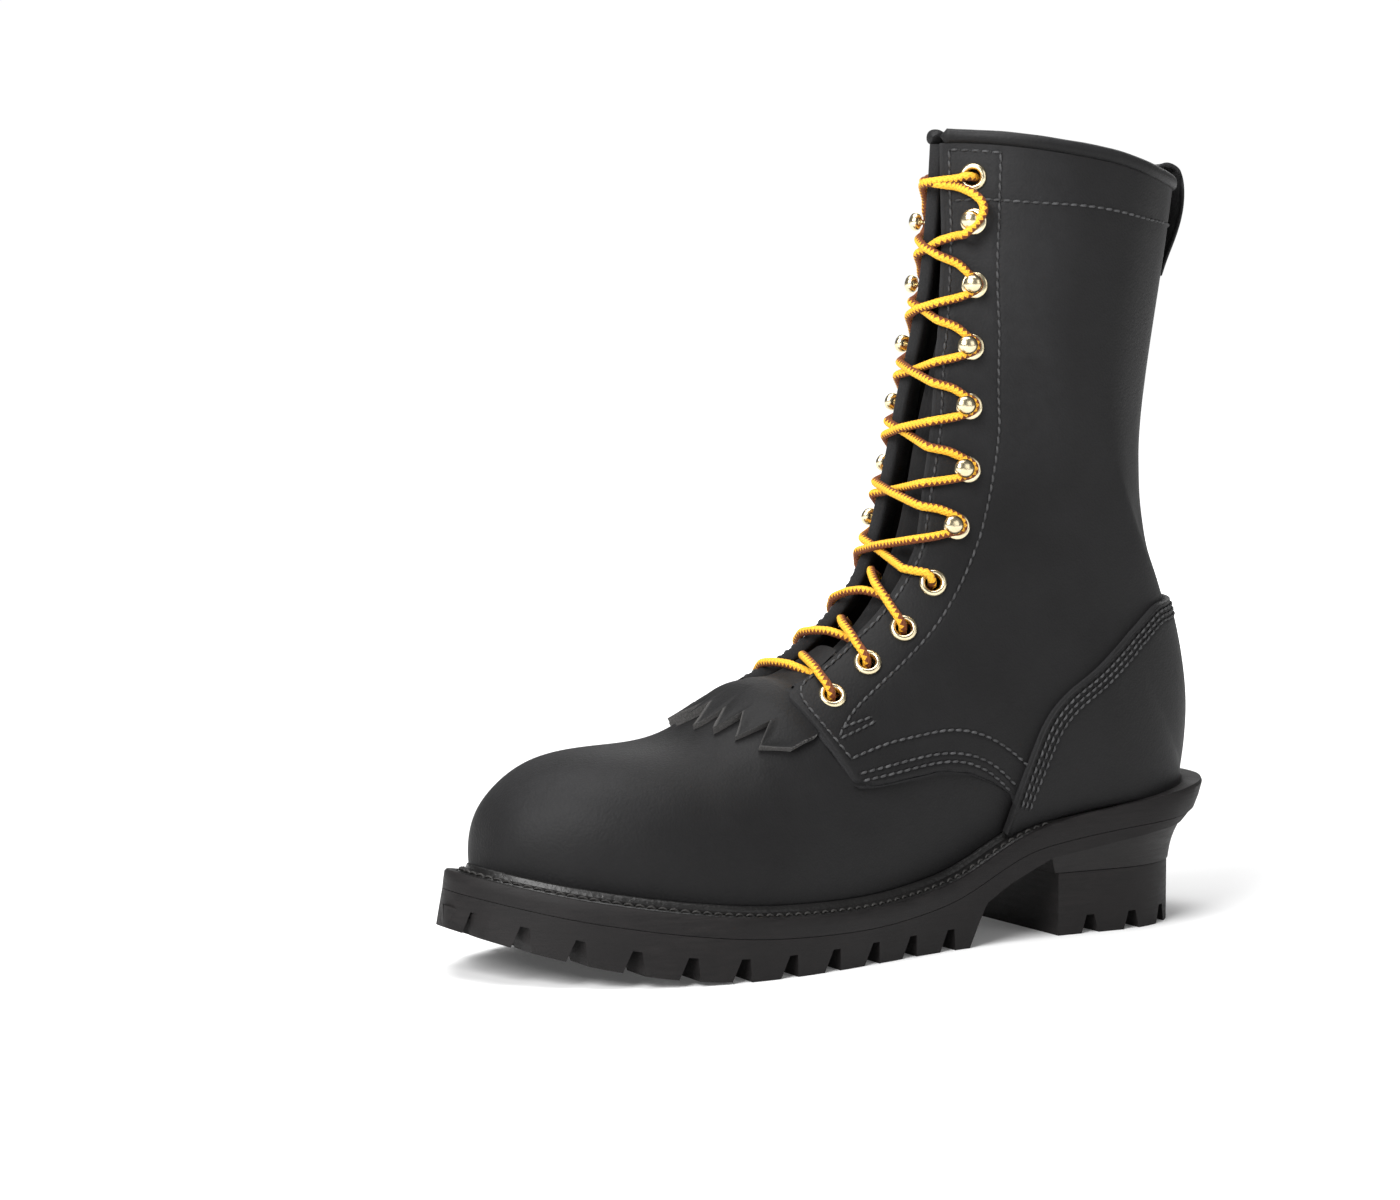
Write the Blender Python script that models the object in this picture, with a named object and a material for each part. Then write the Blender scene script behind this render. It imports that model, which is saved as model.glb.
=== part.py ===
"""Left wildland fire boot: lasted leather upper, lugged sole and logger heel, laced through eyelets and hooks.

Metres, +X to the toe, +Y to the outer side, +Z up, origin on the floor under the middle of the sole.
"""
import math

import bmesh
import bpy
import numpy as np


def table(columns, *rows):
    """Named columns of numbers, a row per section."""
    return dict(zip(columns.split(), np.array(rows, float).T))


# Main sizes
LENGTH = 0.317
HALF = LENGTH / 2
GAP = 0.0003
HEEL_ROUND = 0.135
TOE_ROUND = 0.28
HEEL_POWER = 2.2
TOE_POWER = 2.3

# Leather
WALL = 0.0018
LAP = 0.0014
SEAT = 0.0004
POCKET_SEAT = 0.0011
COUNTER = 0.0017
BACKSTAY = 0.0013
KILTIE = 0.0020
TONGUE = 0.0030
BINDING_THICK = 0.0029
BINDING_HIGH = 0.0026

# Where the upper meets the sole, in from the sole's edge
FEATHER_SIDE = 0.0085
FEATHER_HEEL = 0.0080
FEATHER_TOE = 0.0125

# Sole layers
WELT = 0.0034
MIDSOLE = 0.0044
INSOLE_CLEAR = 0.0004
LUG = 0.0080
TOE_SPRING = 0.0180
SPRING_START = 0.68
WELT_WIDTH = 0.0185
BREAST_TOP = -0.0732
BREAST_MIDDLE = -0.0768
BREAST_LOW = -0.0785
STACK_SIDE_TOP = 0.0022
STACK_SIDE_LOW = 0.0046
STACK_BACK_TOP = 0.0050
STACK_BACK_LOW = 0.0112
LIFT_SIDE = 0.0050
LIFT_BACK = 0.0118
STACK_SPLIT = 0.0240
LUG_START = 0.348
LUG_BEGIN = 0.378
LUG_NOTCHES = 11
LUG_PHASE = 1.02
HEEL_PHASE = 0.75
SKIRT = 0.55
WAIST_BACK = 0.26
WAIST_FORE = 0.86
LUG_DEPTH = 0.0140
LUG_SLOPE = 0.0016
NOTCH_OPEN = 0.0078
NOTCH_TOP = 0.0034
BAR_EDGE = 0.37
HEEL_NOTCHES = 3
HEEL_NOTCH_DEPTH = 0.0120
HEEL_LUG = 0.0070

# Fastenings
EYELET_OUTER = 0.0052
EYELET_HOLE = 0.0030
EYELET_HIGH = 0.0011
HOOK_BASE = 0.0045
HOOK_BASE_HIGH = 0.0010
HOOK_NECK = 0.0018
HOOK_NECK_TOP = 0.0052
HOOK_HEAD = 0.0039
HOOK_HIGH = 0.0092
LACE = 0.0017
LACE_STEP = 0.0095

SOLE_PLAN = table(
    "share middle half",
    (0.00, 0.0000, 0.0400),
    (0.12, 0.0003, 0.0402),
    (0.26, 0.0010, 0.0378),
    (0.40, 0.0040, 0.0360),
    (0.53, 0.0035, 0.0450),
    (0.65, 0.0015, 0.0540),
    (0.75, -0.0005, 0.0562),
    (0.87, -0.0030, 0.0525),
    (1.00, -0.0065, 0.0460),
)
FEATHER_LINE = table(
    "share height",
    (0.00, 0.0520),
    (0.12, 0.0495),
    (0.27, 0.0440),
    (0.40, 0.0360),
    (0.53, 0.0300),
    (0.66, 0.0270),
    (0.76, 0.0270),
    (0.88, 0.0310),
    (1.00, 0.0400),
)
WAIST_DROP = table(
    "share drop",
    (0.00, 0.0000),
    (0.20, 0.0000),
    (0.26, 0.0000),
    (0.30, 0.0005),
    (0.35, 0.0040),
    (0.40, 0.0078),
    (0.46, 0.0088),
    (0.53, 0.0080),
    (0.62, 0.0055),
    (0.70, 0.0034),
    (0.78, 0.0012),
    (0.86, 0.0000),
    (1.00, 0.0000),
)
SOLE_FLOOR = table(
    "share height",
    (0.00, 0.0403),
    (0.12, 0.0375),
    (0.27, 0.0308),
    (0.33, 0.0225),
    (0.365, 0.0160),
    (0.378, 0.0080),
    (0.68, 0.0080),
)
BACK_SEAM = table(
    "height x",
    (0.0520, -0.1505),
    (0.0700, -0.1530),
    (0.0880, -0.1512),
    (0.1070, -0.1460),
    (0.1270, -0.1376),
    (0.1500, -0.1318),
    (0.1730, -0.1298),
    (0.2000, -0.1318),
    (0.2280, -0.1362),
    (0.2620, -0.1420),
    (0.2800, -0.1446),
)
SECTIONS = table(
    "ridge_x ridge_y ridge_z turn half power",
    (0.1460, -0.0065, 0.0367, 0.000, 0.000, 2.3),
    (0.1425, -0.0064, 0.0545, 0.100, 0.015, 2.3),
    (0.1335, -0.0058, 0.0665, 0.165, 0.025, 2.3),
    (0.1170, -0.0048, 0.0755, 0.240, 0.035, 2.3),
    (0.0935, -0.0034, 0.0785, 0.315, 0.041, 2.3),
    (0.0670, -0.0020, 0.0820, 0.400, 0.042, 2.2),
    (0.0427, -0.0006, 0.0954, 0.475, 0.040, 2.1),
    (0.0169, 0.0009, 0.1091, 0.540, 0.037, 2.0),
    (-0.0108, 0.0016, 0.1347, 0.620, 0.035, 2.0),
    (-0.0226, 0.0018, 0.1698, 0.720, 0.034, 2.0),
    (-0.0290, 0.0020, 0.2000, 0.850, 0.034, 2.1),
    (-0.0350, 0.0023, 0.2220, 1.000, 0.034, 2.2),
    (-0.0390, 0.0027, 0.2430, 1.250, 0.034, 2.2),
    (-0.0410, 0.0030, 0.2650, 1.600, 0.035, 2.2),
    (-0.0420, 0.0030, 0.2970, 2.000, 0.037, 2.2),
)
HEEL_SECTION = 11.0
TOP = 14.0
THROAT = table(
    "section gap row",
    (6.05, 0.0000, 0.0262),
    (6.30, 0.0142, 0.0262),
    (6.60, 0.0165, 0.0258),
    (7.00, 0.0150, 0.0240),
    (7.50, 0.0140, 0.0224),
    (8.00, 0.0148, 0.0228),
    (8.60, 0.0161, 0.0230),
    (9.20, 0.0152, 0.0223),
    (10.00, 0.0140, 0.0209),
    (11.00, 0.0108, 0.0190),
    (11.50, 0.0095, 0.0181),
    (12.00, 0.0082, 0.0186),
    (13.00, 0.0064, 0.0190),
    (13.60, 0.0040, 0.0180),
    (14.00, 0.0026, 0.0172),
)
QUARTER_SEAM = table(
    "across section",
    (0.000, 6.42),
    (0.068, 6.30),
    (0.153, 6.28),
    (0.256, 6.27),
    (0.365, 6.27),
    (0.472, 6.28),
    (0.564, 6.30),
    (0.594, 6.85),
    (0.634, 7.40),
    (0.700, 7.75),
    (0.783, 8.00),
    (0.855, 8.15),
    (0.928, 8.15),
    (1.000, 8.10),
)
COUNTER_EDGE = table(
    "x height",
    (-0.1500, 0.1290),
    (-0.1380, 0.1275),
    (-0.1160, 0.1222),
    (-0.1004, 0.1110),
    (-0.0806, 0.0933),
    (-0.0697, 0.0788),
    (-0.0617, 0.0660),
    (-0.0561, 0.0515),
    (-0.0525, 0.0400),
)
COUNTER_ROWS = (7.96, 8.14, 8.47, 8.83, 9.32, 9.80, 10.25, 10.56, 10.78, 11.00, 11.20, 11.45, 11.70, 12.00, 12.22)
COUNTER_COLUMNS = 6
KILTIE_SIDE = table(
    "section scale lift",
    (5.00, 1.00, 0.0011),
    (6.16, 1.00, 0.0020),
    (6.24, 0.34, 0.0020),
    (6.45, 0.36, -0.0040),
    (6.70, 0.40, -0.0089),
    (7.30, 0.40, -0.0091),
)
EYELET_SECTIONS = (6.77, 7.35, 7.875, 8.475)
HOOK_SECTIONS = (9.115, 9.795, 10.585, 11.455, 12.445, 13.235)
TOP_EYELET = 13.68
TONGUE_DEPTH = 0.0097
TONGUE_COVER = 0.0095
TONGUE_ROWS = (5.95, 13.95, 12)
KILTIE_TIP = 5.28
KILTIE_NOTCH = 5.72
KILTIE_STEP = 0.048
VAMP_ROWS = 13
QUARTER_ROWS = 19
QUARTER_LOW_ROWS = 8


class Curve:
    """Natural cubic curves through the columns of a table."""

    def __init__(self, rows, along=None):
        count = len(next(iter(rows.values())))
        self.knots = rows[along] if along else np.arange(count, dtype=float)
        self.rows = rows
        self.bends = {name: self.bend(values) for name, values in rows.items()}

    def bend(self, values):
        """Second derivatives at the rows."""
        step = np.diff(self.knots)
        count = len(self.knots)
        system = np.eye(count)
        right = np.zeros(count)
        for i in range(1, count - 1):
            system[i, i - 1:i + 2] = step[i - 1], 2 * (step[i - 1] + step[i]), step[i]
            rise = (values[i + 1] - values[i]) / step[i]
            right[i] = 6 * (rise - (values[i] - values[i - 1]) / step[i - 1])
        return np.linalg.solve(system, right)

    def at(self, name, place):
        """Value of one column at a place along the table."""
        place = np.asarray(place, float)
        i = np.clip(np.searchsorted(self.knots, place, side="right") - 1, 0, len(self.knots) - 2)
        low, high = self.rows[name][i], self.rows[name][i + 1]
        m_low, m_high = self.bends[name][i], self.bends[name][i + 1]
        width = self.knots[i + 1] - self.knots[i]
        d = place - self.knots[i]
        slope = (high - low) / width - width * (2 * m_low + m_high) / 6
        return low + d * slope + d ** 2 * m_low / 2 + d ** 3 * (m_high - m_low) / (6 * width)


plan = Curve(SOLE_PLAN, "share")
feather = Curve(FEATHER_LINE, "share")
waist = Curve(WAIST_DROP, "share")
back_seam = Curve(BACK_SEAM, "height")
counter_line = Curve(COUNTER_EDGE, "x")


def share_at(x):
    """Share of the sole's length from the heel."""
    return np.clip((x + HALF) / LENGTH, 0, 1)


def rounding(share):
    """Narrowing of the sole's plan at heel and toe."""
    share = np.clip(share, 0, 1)
    heel = np.clip(1 - share / HEEL_ROUND, 0, 1) ** HEEL_POWER
    toe = np.clip((share - (1 - TOE_ROUND)) / TOE_ROUND, 0, 1) ** TOE_POWER
    return np.sqrt(np.clip(1 - heel, 0, 1) * np.clip(1 - toe, 0, 1))


def outline(share, inset=0.0, heel=None, toe=None):
    """Place along the sole, middle and half width, drawn in from the sole's edge."""
    share = np.asarray(share, float)
    heel = inset if heel is None else heel
    toe = inset if toe is None else toe
    x = -HALF + heel + share * (LENGTH - heel - toe)
    return x, plan.at("middle", share), (plan.at("half", share) - inset) * rounding(share)


def share_of(x, side, heel):
    """Share at which an inset outline reaches a place along the sole."""
    return (x + HALF - heel) / (LENGTH - heel - side)


def hang(x):
    """Drop of the upper's edge below the last's line at the waist."""
    share = share_at(x)
    inside = (share > WAIST_BACK) & (share < WAIST_FORE)
    return np.where(inside, np.maximum(waist.at("drop", share), 0), 0.0)


def rise(x):
    """Height of the line where upper and sole meet."""
    return feather.at("height", share_at(x)) - hang(x)


SECTIONS["ridge_z"][0] = rise(HALF - FEATHER_TOE)
sections = Curve(SECTIONS)


def spring(x):
    """Height of the tread's lowest faces, flat to the ball and rising at the toe."""
    return TOE_SPRING * np.clip((share_at(x) - SPRING_START) / (1 - SPRING_START), 0, 1) ** 2


def tread_floor(x):
    """Height of the tread between its lugs."""
    share = share_at(x)
    level = np.interp(share, SOLE_FLOOR["share"], SOLE_FLOOR["height"])
    return np.where(share > SPRING_START, LUG + spring(x), level)


def section(s):
    """Ridge, edge and half width of a slanting section, numbered from toe tip to collar."""
    ridge = [sections.at(name, s) for name in ("ridge_x", "ridge_y", "ridge_z")]
    turn = np.clip(sections.at("turn", s), 0, 2)
    x, middle, half = outline((1 + np.cos(np.pi * np.clip(turn, 0, 1))) / 2, FEATHER_SIDE, FEATHER_HEEL, FEATHER_TOE)
    low, high = BACK_SEAM["height"][0], BACK_SEAM["height"][-1]
    height = low + np.clip(turn - 1, 0, 1) * (high - low)
    behind = turn > 1
    edge = [
        np.where(behind, back_seam.at("x", height), x),
        np.where(behind, SOLE_PLAN["middle"][0], middle),
        np.where(behind, height, rise(x)),
    ]
    half = np.where(behind, 0.0, half)
    width = (np.maximum(sections.at("half", s), 1e-6) ** 8 + half ** 8) ** 0.125
    bend = 2 / sections.at("power", s)
    sweep = np.pi - np.arcsin(np.clip(half / width, 0, 1) ** (1 / bend))
    return ridge, edge, width, bend, sweep, turn


def surface(s, k, side):
    """Point of the last's skin: s from toe tip to collar, k from ridge to edge, side +1 outer, -1 inner."""
    s, k = np.broadcast_arrays(np.asarray(s, float), np.asarray(k, float))
    ridge, edge, width, bend, sweep, _ = section(s)
    angle = k * sweep
    part = (1 - np.cos(angle)) / (1 - np.cos(sweep))
    x, y, z = (a + part * (b - a) for a, b in zip(ridge, edge))
    z = z + hang(edge[0]) * (part - np.clip((part - SKIRT) / (1 - SKIRT), 0, 1) ** 2)
    return np.stack([x, y + side * width * np.clip(np.sin(angle), 0, 1) ** bend, z], -1)


def one_normal(s, k, side):
    """Outward direction of one half of the skin."""
    s = np.clip(s, 0.03, TOP)
    along = surface(np.minimum(s + 0.002, TOP), k, side) - surface(np.maximum(s - 0.002, 0.02), k, side)
    across = surface(s, np.minimum(k + 0.002, 1), side) - surface(s, np.maximum(k - 0.002, 0), side)
    out = side * np.cross(across, along)
    return out / np.linalg.norm(out, axis=-1, keepdims=True)


def normal(s, k, side):
    """Outward direction, shared by both halves on the ridge and the back seam, forward at the toe tip."""
    s, k = np.broadcast_arrays(np.asarray(s, float), np.asarray(k, float))
    out = one_normal(s, k, side)
    both = out + one_normal(s, k, -side)
    both /= np.linalg.norm(both, axis=-1, keepdims=True)
    seam = (k < 1e-6) | ((k > 1 - 1e-6) & (s > HEEL_SECTION - 1e-6))
    out = np.where(seam[..., None], both, out)
    return np.where((s < 1e-6)[..., None], (1.0, 0.0, 0.0), out)


def skin(s, k, side, lift):
    """Point lifted off the skin; the lasted edge stays level on the sole."""
    s, k, lift = np.broadcast_arrays(np.asarray(s, float), np.asarray(k, float), np.asarray(lift, float))
    place = surface(s, k, side)
    point = place + normal(s, k, side) * lift[..., None]
    lasted = (k > 1 - 1e-6) & (s < HEEL_SECTION + 1e-6)
    level = np.maximum(point[..., 2], np.where(s < HEEL_SECTION + 1e-6, rise(point[..., 0]), 0.0))
    point[..., 2] = np.where(lasted, place[..., 2], level)
    return point


def k_at(s, half, rear=False):
    """k where the skin stands a half width from its middle, before or behind the widest place."""
    _, _, width, bend, sweep, _ = section(np.asarray(s, float))
    angle = np.arcsin(np.clip(half / width, 0, 1) ** (1 / bend))
    return (np.pi - angle if rear else angle) / sweep


def throat_k(s):
    """k of the throat's edge."""
    return k_at(s, np.interp(s, THROAT["section"], THROAT["gap"]))


def row_k(s):
    """k of the row of eyelets and hooks."""
    return k_at(s, np.interp(s, THROAT["section"], THROAT["row"]))


def leather(name, colour, roughness, metal=0.0):
    """Plain finish of one sub-part."""
    material = bpy.data.materials.new(name)
    material.use_nodes = True
    shader = material.node_tree.nodes["Principled BSDF"]
    shader.inputs["Base Color"].default_value = (*colour, 1.0)
    shader.inputs["Roughness"].default_value = roughness
    shader.inputs["Metallic"].default_value = metal
    material.diffuse_color = (*colour, 1.0)
    return material


BLACK_LEATHER = ((0.022, 0.022, 0.024), 0.55)
BLACK_RUBBER = ((0.020, 0.018, 0.017), 0.6)
BRASS = ((0.78, 0.66, 0.38), 0.3, 1.0)
YELLOW_LACE = ((0.72, 0.42, 0.06), 0.8)
TAN_BOARD = ((0.30, 0.20, 0.12), 0.8)


def solid(name, points, faces, finish):
    """Closed, outward facing object from points and faces."""
    mesh = bpy.data.meshes.new(name)
    mesh.from_pydata([tuple(map(float, p)) for p in points], [], faces)
    shape = bmesh.new()
    shape.from_mesh(mesh)
    bmesh.ops.remove_doubles(shape, verts=shape.verts, dist=2e-6)
    bmesh.ops.delete(shape, geom=[e for e in shape.edges if not e.link_faces], context="EDGES")
    bmesh.ops.recalc_face_normals(shape, faces=shape.faces)
    bmesh.ops.triangulate(shape, faces=shape.faces)
    shape.to_mesh(mesh)
    shape.free()
    mesh.materials.append(leather(name, *finish))
    bpy.context.scene.collection.objects.link(bpy.data.objects.new(name, mesh))


def shell(name, grids, finish):
    """Solid between an outer and an inner sheet; each grid holds both as rows x columns x 3."""
    points, faces, rims = [], [], {}
    for outer, inner in grids:
        rows, columns = outer.shape[:2]
        first, behind = len(points), rows * columns
        points.extend(outer.reshape(-1, 3))
        points.extend(inner.reshape(-1, 3))
        for i in range(rows - 1):
            for j in range(columns - 1):
                a = first + i * columns + j
                quad = (a, a + 1, a + columns + 1, a + columns)
                faces.append(quad)
                faces.append(tuple(v + behind for v in reversed(quad)))
                for edge in zip(quad, quad[1:] + quad[:1]):
                    ends = {tuple(np.round(points[v], 6)) for v in edge}
                    key = frozenset(ends) if len(ends) > 1 else edge
                    rims.setdefault(key, []).append((*edge, behind))
    for uses in rims.values():
        if len(uses) == 1:
            a, b, behind = uses[0]
            faces.append((b, a, a + behind, b + behind))
    solid(name, points, faces, finish)


def slab(name, top, bottom, finish):
    """Sole layer between two sheets, each given as shares along the sole, insets and height."""
    def sheet(shares, insets, height):
        x, middle, half = outline(shares, *insets)
        return np.stack([np.stack([x, middle + side * half, height(x)], -1) for side in (1, -1)], 1)
    shell(name, [(sheet(*top), sheet(*bottom))], finish)


def lathe(name, s, k, side, lift, profile, count, finish):
    """Turned piece standing on the skin; profile holds radius and height, closed in itself."""
    origin = skin(s, k, side, lift)
    axis = normal(s, k, side)
    across = np.cross(axis, (0.0, 0.0, 1.0))
    across /= np.linalg.norm(across)
    up = np.cross(across, axis)
    turn = 2 * math.pi * np.arange(count) / count
    ring = np.cos(turn)[:, None] * across + np.sin(turn)[:, None] * up
    points = [origin + radius * spoke + height * axis for radius, height in profile for spoke in ring]
    faces = []
    for i in range(len(profile)):
        j = (i + 1) % len(profile)
        for a in range(count):
            b = (a + 1) % count
            faces.append((i * count + a, i * count + b, j * count + b, j * count + a))
    solid(name, points, faces, finish)


def sweep_tube(name, path, radius, count, finish, frame=None):
    """Round or oval cord along a path, closed at both ends."""
    path = np.asarray(path)
    tangent = np.gradient(path, axis=0)
    tangent /= np.linalg.norm(tangent, axis=1, keepdims=True)
    wide, high = radius
    points = []
    across = np.cross(tangent[0], (0.3, 0.2, 0.93))
    for i, (place, way) in enumerate(zip(path, tangent)):
        across = frame[i] if frame is not None else across
        across = across - way * np.dot(across, way)
        across /= np.linalg.norm(across)
        up = np.cross(way, across)
        for a in range(count):
            turn = 2 * math.pi * a / count
            points.append(place + wide * math.cos(turn) * across + high * math.sin(turn) * up)
    faces = [tuple(range(count)), tuple(range(len(points) - 1, len(points) - count - 1, -1))]
    for i in range(len(path) - 1):
        for a in range(count):
            b = (a + 1) % count
            faces.append((i * count + a, i * count + b, (i + 1) * count + b, (i + 1) * count + a))
    solid(name, points, faces, finish)


def smooth_path(marks):
    """Smooth path through marks, with a point added in the middle of each long span."""
    marks = np.asarray(marks)
    spans = np.linalg.norm(np.diff(marks, axis=0), axis=1)
    far = np.concatenate([[0.0], np.cumsum(np.sqrt(spans))])
    curve = Curve(dict(far=far, x=marks[:, 0], y=marks[:, 1], z=marks[:, 2]), "far")
    middles = 0.5 * (far[1:] + far[:-1])[spans > LACE_STEP]
    steps = np.sort(np.concatenate([far, middles]))
    return np.stack([curve.at(name, steps) for name in "xyz"], -1)


# Upper
def upper():
    """Vamp and quarters as one wall; the quarters' lower edge is a step over the vamp."""
    across = QUARTER_SEAM["across"]
    seam = QUARTER_SEAM["section"]
    vamp = np.linspace(0, 1, VAMP_ROWS + 1)[:, None] ** 1.05 * seam
    heel = (HEEL_SECTION - seam[-1]) / (TOP - seam[-1])
    part = np.interp(np.arange(QUARTER_ROWS + 1), (0, QUARTER_LOW_ROWS, QUARTER_ROWS), (0, heel, 1))[:, None]
    s = np.concatenate([vamp, seam + part * (TOP - seam)])
    lift = np.concatenate([np.zeros_like(vamp), np.full((QUARTER_ROWS + 1, len(across)), LAP)])
    low = throat_k(s)
    k = low + across * (1 - low)
    shell("upper", [(skin(s, k, side, lift), skin(s, k, side, -WALL)) for side in (1, -1)], BLACK_LEATHER)


def counter_k(s):
    """k where a section passes under the counter's edge, drawn in side view."""
    k = np.linspace(0.3, 0.97, 400)
    x, _, z = np.moveaxis(surface(s, k, 1), -1, 0)
    inside = (z < counter_line.at("height", x)) & (x < COUNTER_EDGE["x"][-1])
    return np.where(inside.any(-1), k[inside.argmax(-1)], k[-1])[:, None]


def counter():
    """Outside heel pocket over the quarters, from the waist round the heel."""
    s = np.array(COUNTER_ROWS)[:, None]
    edge = counter_k(s)
    k = edge + np.linspace(0, 1, COUNTER_COLUMNS) * (1 - edge)
    s = np.broadcast_to(s, k.shape)
    low = LAP + POCKET_SEAT
    shell("counter", [(skin(s, k, side, low + COUNTER), skin(s, k, side, low)) for side in (1, -1)], BLACK_LEATHER)


def backstay():
    """Strip over the back seam, from the counter towards the collar."""
    s = np.linspace(12.30, 13.46, 7)[:, None]
    half = np.interp(s, (12.30, 13.46), (0.0085, 0.0075))
    edge = k_at(s, half, rear=True)
    k = edge + np.linspace(0, 1, 3) * (1 - edge)
    s = np.broadcast_to(s, k.shape)
    low = LAP + POCKET_SEAT
    shell("backstay", [(skin(s, k, side, low + BACKSTAY), skin(s, k, side, low)) for side in (1, -1)], BLACK_LEATHER)


def collar_frames(k, side):
    """Top edge of the upper with its outward and upward directions."""
    place = skin(TOP, k, side, (LAP - WALL) / 2)
    out = normal(np.full_like(k, TOP), k, side)
    up = surface(TOP, k, side) - surface(TOP - 0.05, k, side)
    return place, out, up / np.linalg.norm(up, axis=-1, keepdims=True)


def collar_binding():
    """Rolled binding on the collar from one side of the throat round the back to the other."""
    start = float(throat_k(TOP))
    parts = [collar_frames(np.linspace(start, 1, 13), 1), collar_frames(np.linspace(1, start, 13)[1:], -1)]
    place, out, up = (np.concatenate(pair) for pair in zip(*parts))
    path = place + up * (GAP + BINDING_HIGH)
    sweep_tube("collar_binding", path, (BINDING_THICK, BINDING_HIGH), 7, BLACK_LEATHER, out)


def pull_loop():
    """Strap from inside the collar over the binding and down the back."""
    profile = table(
        "section high inner outer",
        (13.80, 0.0000, -0.0050, -0.0030),
        (14.00, 0.0000, -0.0058, -0.0038),
        (14.00, 0.0052, -0.0060, -0.0040),
        (14.00, 0.0080, -0.0040, -0.0026),
        (14.00, 0.0086, 0.0000, 0.0000),
        (14.00, 0.0070, 0.0046, 0.0034),
        (14.00, 0.0030, 0.0074, 0.0054),
        (13.93, 0.0000, 0.0084, 0.0064),
        (13.78, 0.0000, 0.0076, 0.0056),
        (13.64, 0.0000, 0.0054, 0.0034),
        (13.54, 0.0000, 0.0042, 0.0022),
    )
    thin = np.array([0.0, 0.0, 0.0, 0.0014, 0.0018, 0.0014, 0.0, 0.0, 0.0, 0.0, 0.0])
    edge = k_at(TOP, 0.0115, rear=True)
    k = np.linspace(float(edge), 1, 3)
    grids = []
    for side in (1, -1):
        _, _, up = collar_frames(k, side)
        sheets = []
        for name, drop in (("inner", 0.0), ("outer", 1.0)):
            s = np.broadcast_to(profile["section"][:, None], (len(thin), len(k)))
            lift = np.broadcast_to(profile[name][:, None], s.shape)
            high = (profile["high"] - drop * thin)[:, None, None] * up
            sheets.append(skin(s, np.broadcast_to(k, s.shape), side, lift) + high)
        grids.append(tuple(sheets))
    shell("pull_loop", grids, BLACK_LEATHER)


def tongue():
    """Leather tongue under the throat, from below the vamp to the collar."""
    low, high, rows = TONGUE_ROWS
    s = np.linspace(low, high, rows)[:, None]
    gap = np.interp(s, THROAT["section"], THROAT["gap"])
    width = np.interp(s, (low, 7.0, high), (0.016, 0.026, 0.0190))
    edge = k_at(s, np.maximum(np.minimum(gap + TONGUE_COVER, 0.030), width))
    k = np.linspace(0, 1, 5) * edge
    s = np.broadcast_to(s, k.shape)
    grids = [(skin(s, k, side, -TONGUE_DEPTH), skin(s, k, side, -TONGUE_DEPTH - TONGUE)) for side in (1, -1)]
    shell("tongue", grids, BLACK_LEATHER)


def kiltie():
    """Fringed apron on the vamp that runs back into the throat."""
    column = np.arange(9)
    front = np.where(column % 2 == 1, KILTIE_TIP + 0.03 * column, KILTIE_NOTCH + 0.015 * column)
    rows = np.concatenate([
        front + np.linspace(0, 1, 3)[:, None] * (6.12 - front),
        np.repeat([[6.24], [6.36], [6.52], [6.70], [7.30]], len(column), axis=1),
    ])
    k = column * KILTIE_STEP * np.interp(rows, KILTIE_SIDE["section"], KILTIE_SIDE["scale"])
    lift = np.interp(rows, KILTIE_SIDE["section"], KILTIE_SIDE["lift"])
    shell("kiltie", [(skin(rows, k, side, lift + KILTIE), skin(rows, k, side, lift)) for side in (1, -1)], BLACK_LEATHER)


# Sole
FULL = (1 - np.cos(np.linspace(0, math.pi, 33))) / 2


def welt_bottom(x):
    """Underside of the welt."""
    return rise(x) - GAP - WELT


def midsole_bottom(x):
    """Underside of the midsole."""
    return welt_bottom(x) - GAP - MIDSOLE


def welt():
    """Ring of leather under the lasted edge, out to the sole's edge."""
    grids = []
    for side in (1, -1):
        rings = []
        for inset in (0.0, WELT_WIDTH):
            x, middle, half = outline(FULL, inset)
            rings.append((x, middle + side * half))
        sheets = []
        for height in (lambda x: rise(x) - GAP, welt_bottom):
            sheets.append(np.stack([np.stack([x, y, height(x)], -1) for x, y in rings], 1))
        grids.append(tuple(sheets))
    shell("welt", grids, BLACK_LEATHER)


def insole():
    """Board inside the welt, level with its top."""
    inset = (WELT_WIDTH + GAP,)
    slab(
        "insole", (FULL, inset, lambda x: rise(x) - GAP),
        (FULL, inset, lambda x: welt_bottom(x) + INSOLE_CLEAR), TAN_BOARD)


def midsole():
    """Full length layer between welt and outsole."""
    slab("midsole", (FULL, (), lambda x: welt_bottom(x) - GAP), (FULL, (), midsole_bottom), BLACK_RUBBER)


def notch_rows(start, end, count, phase, side, insets=()):
    """Shares along one edge with a flag for lug faces, four rows to a notch."""
    shares = np.linspace(start, end, 1500)
    x, middle, half = outline(shares, *insets)
    step = np.hypot(np.diff(x), np.diff(middle + side * half))
    far = np.concatenate([[0.0], np.cumsum(step)])
    pitch = far[-1] / (count + 0.5)
    rows = []
    for centre in pitch * (phase + np.arange(count)):
        for offset, lug in ((-NOTCH_OPEN, 1), (-NOTCH_TOP, 0), (NOTCH_TOP, 0), (NOTCH_OPEN, 1)):
            rows.append((float(np.interp(centre + offset / 2, far, shares)), lug))
    return rows


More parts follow.
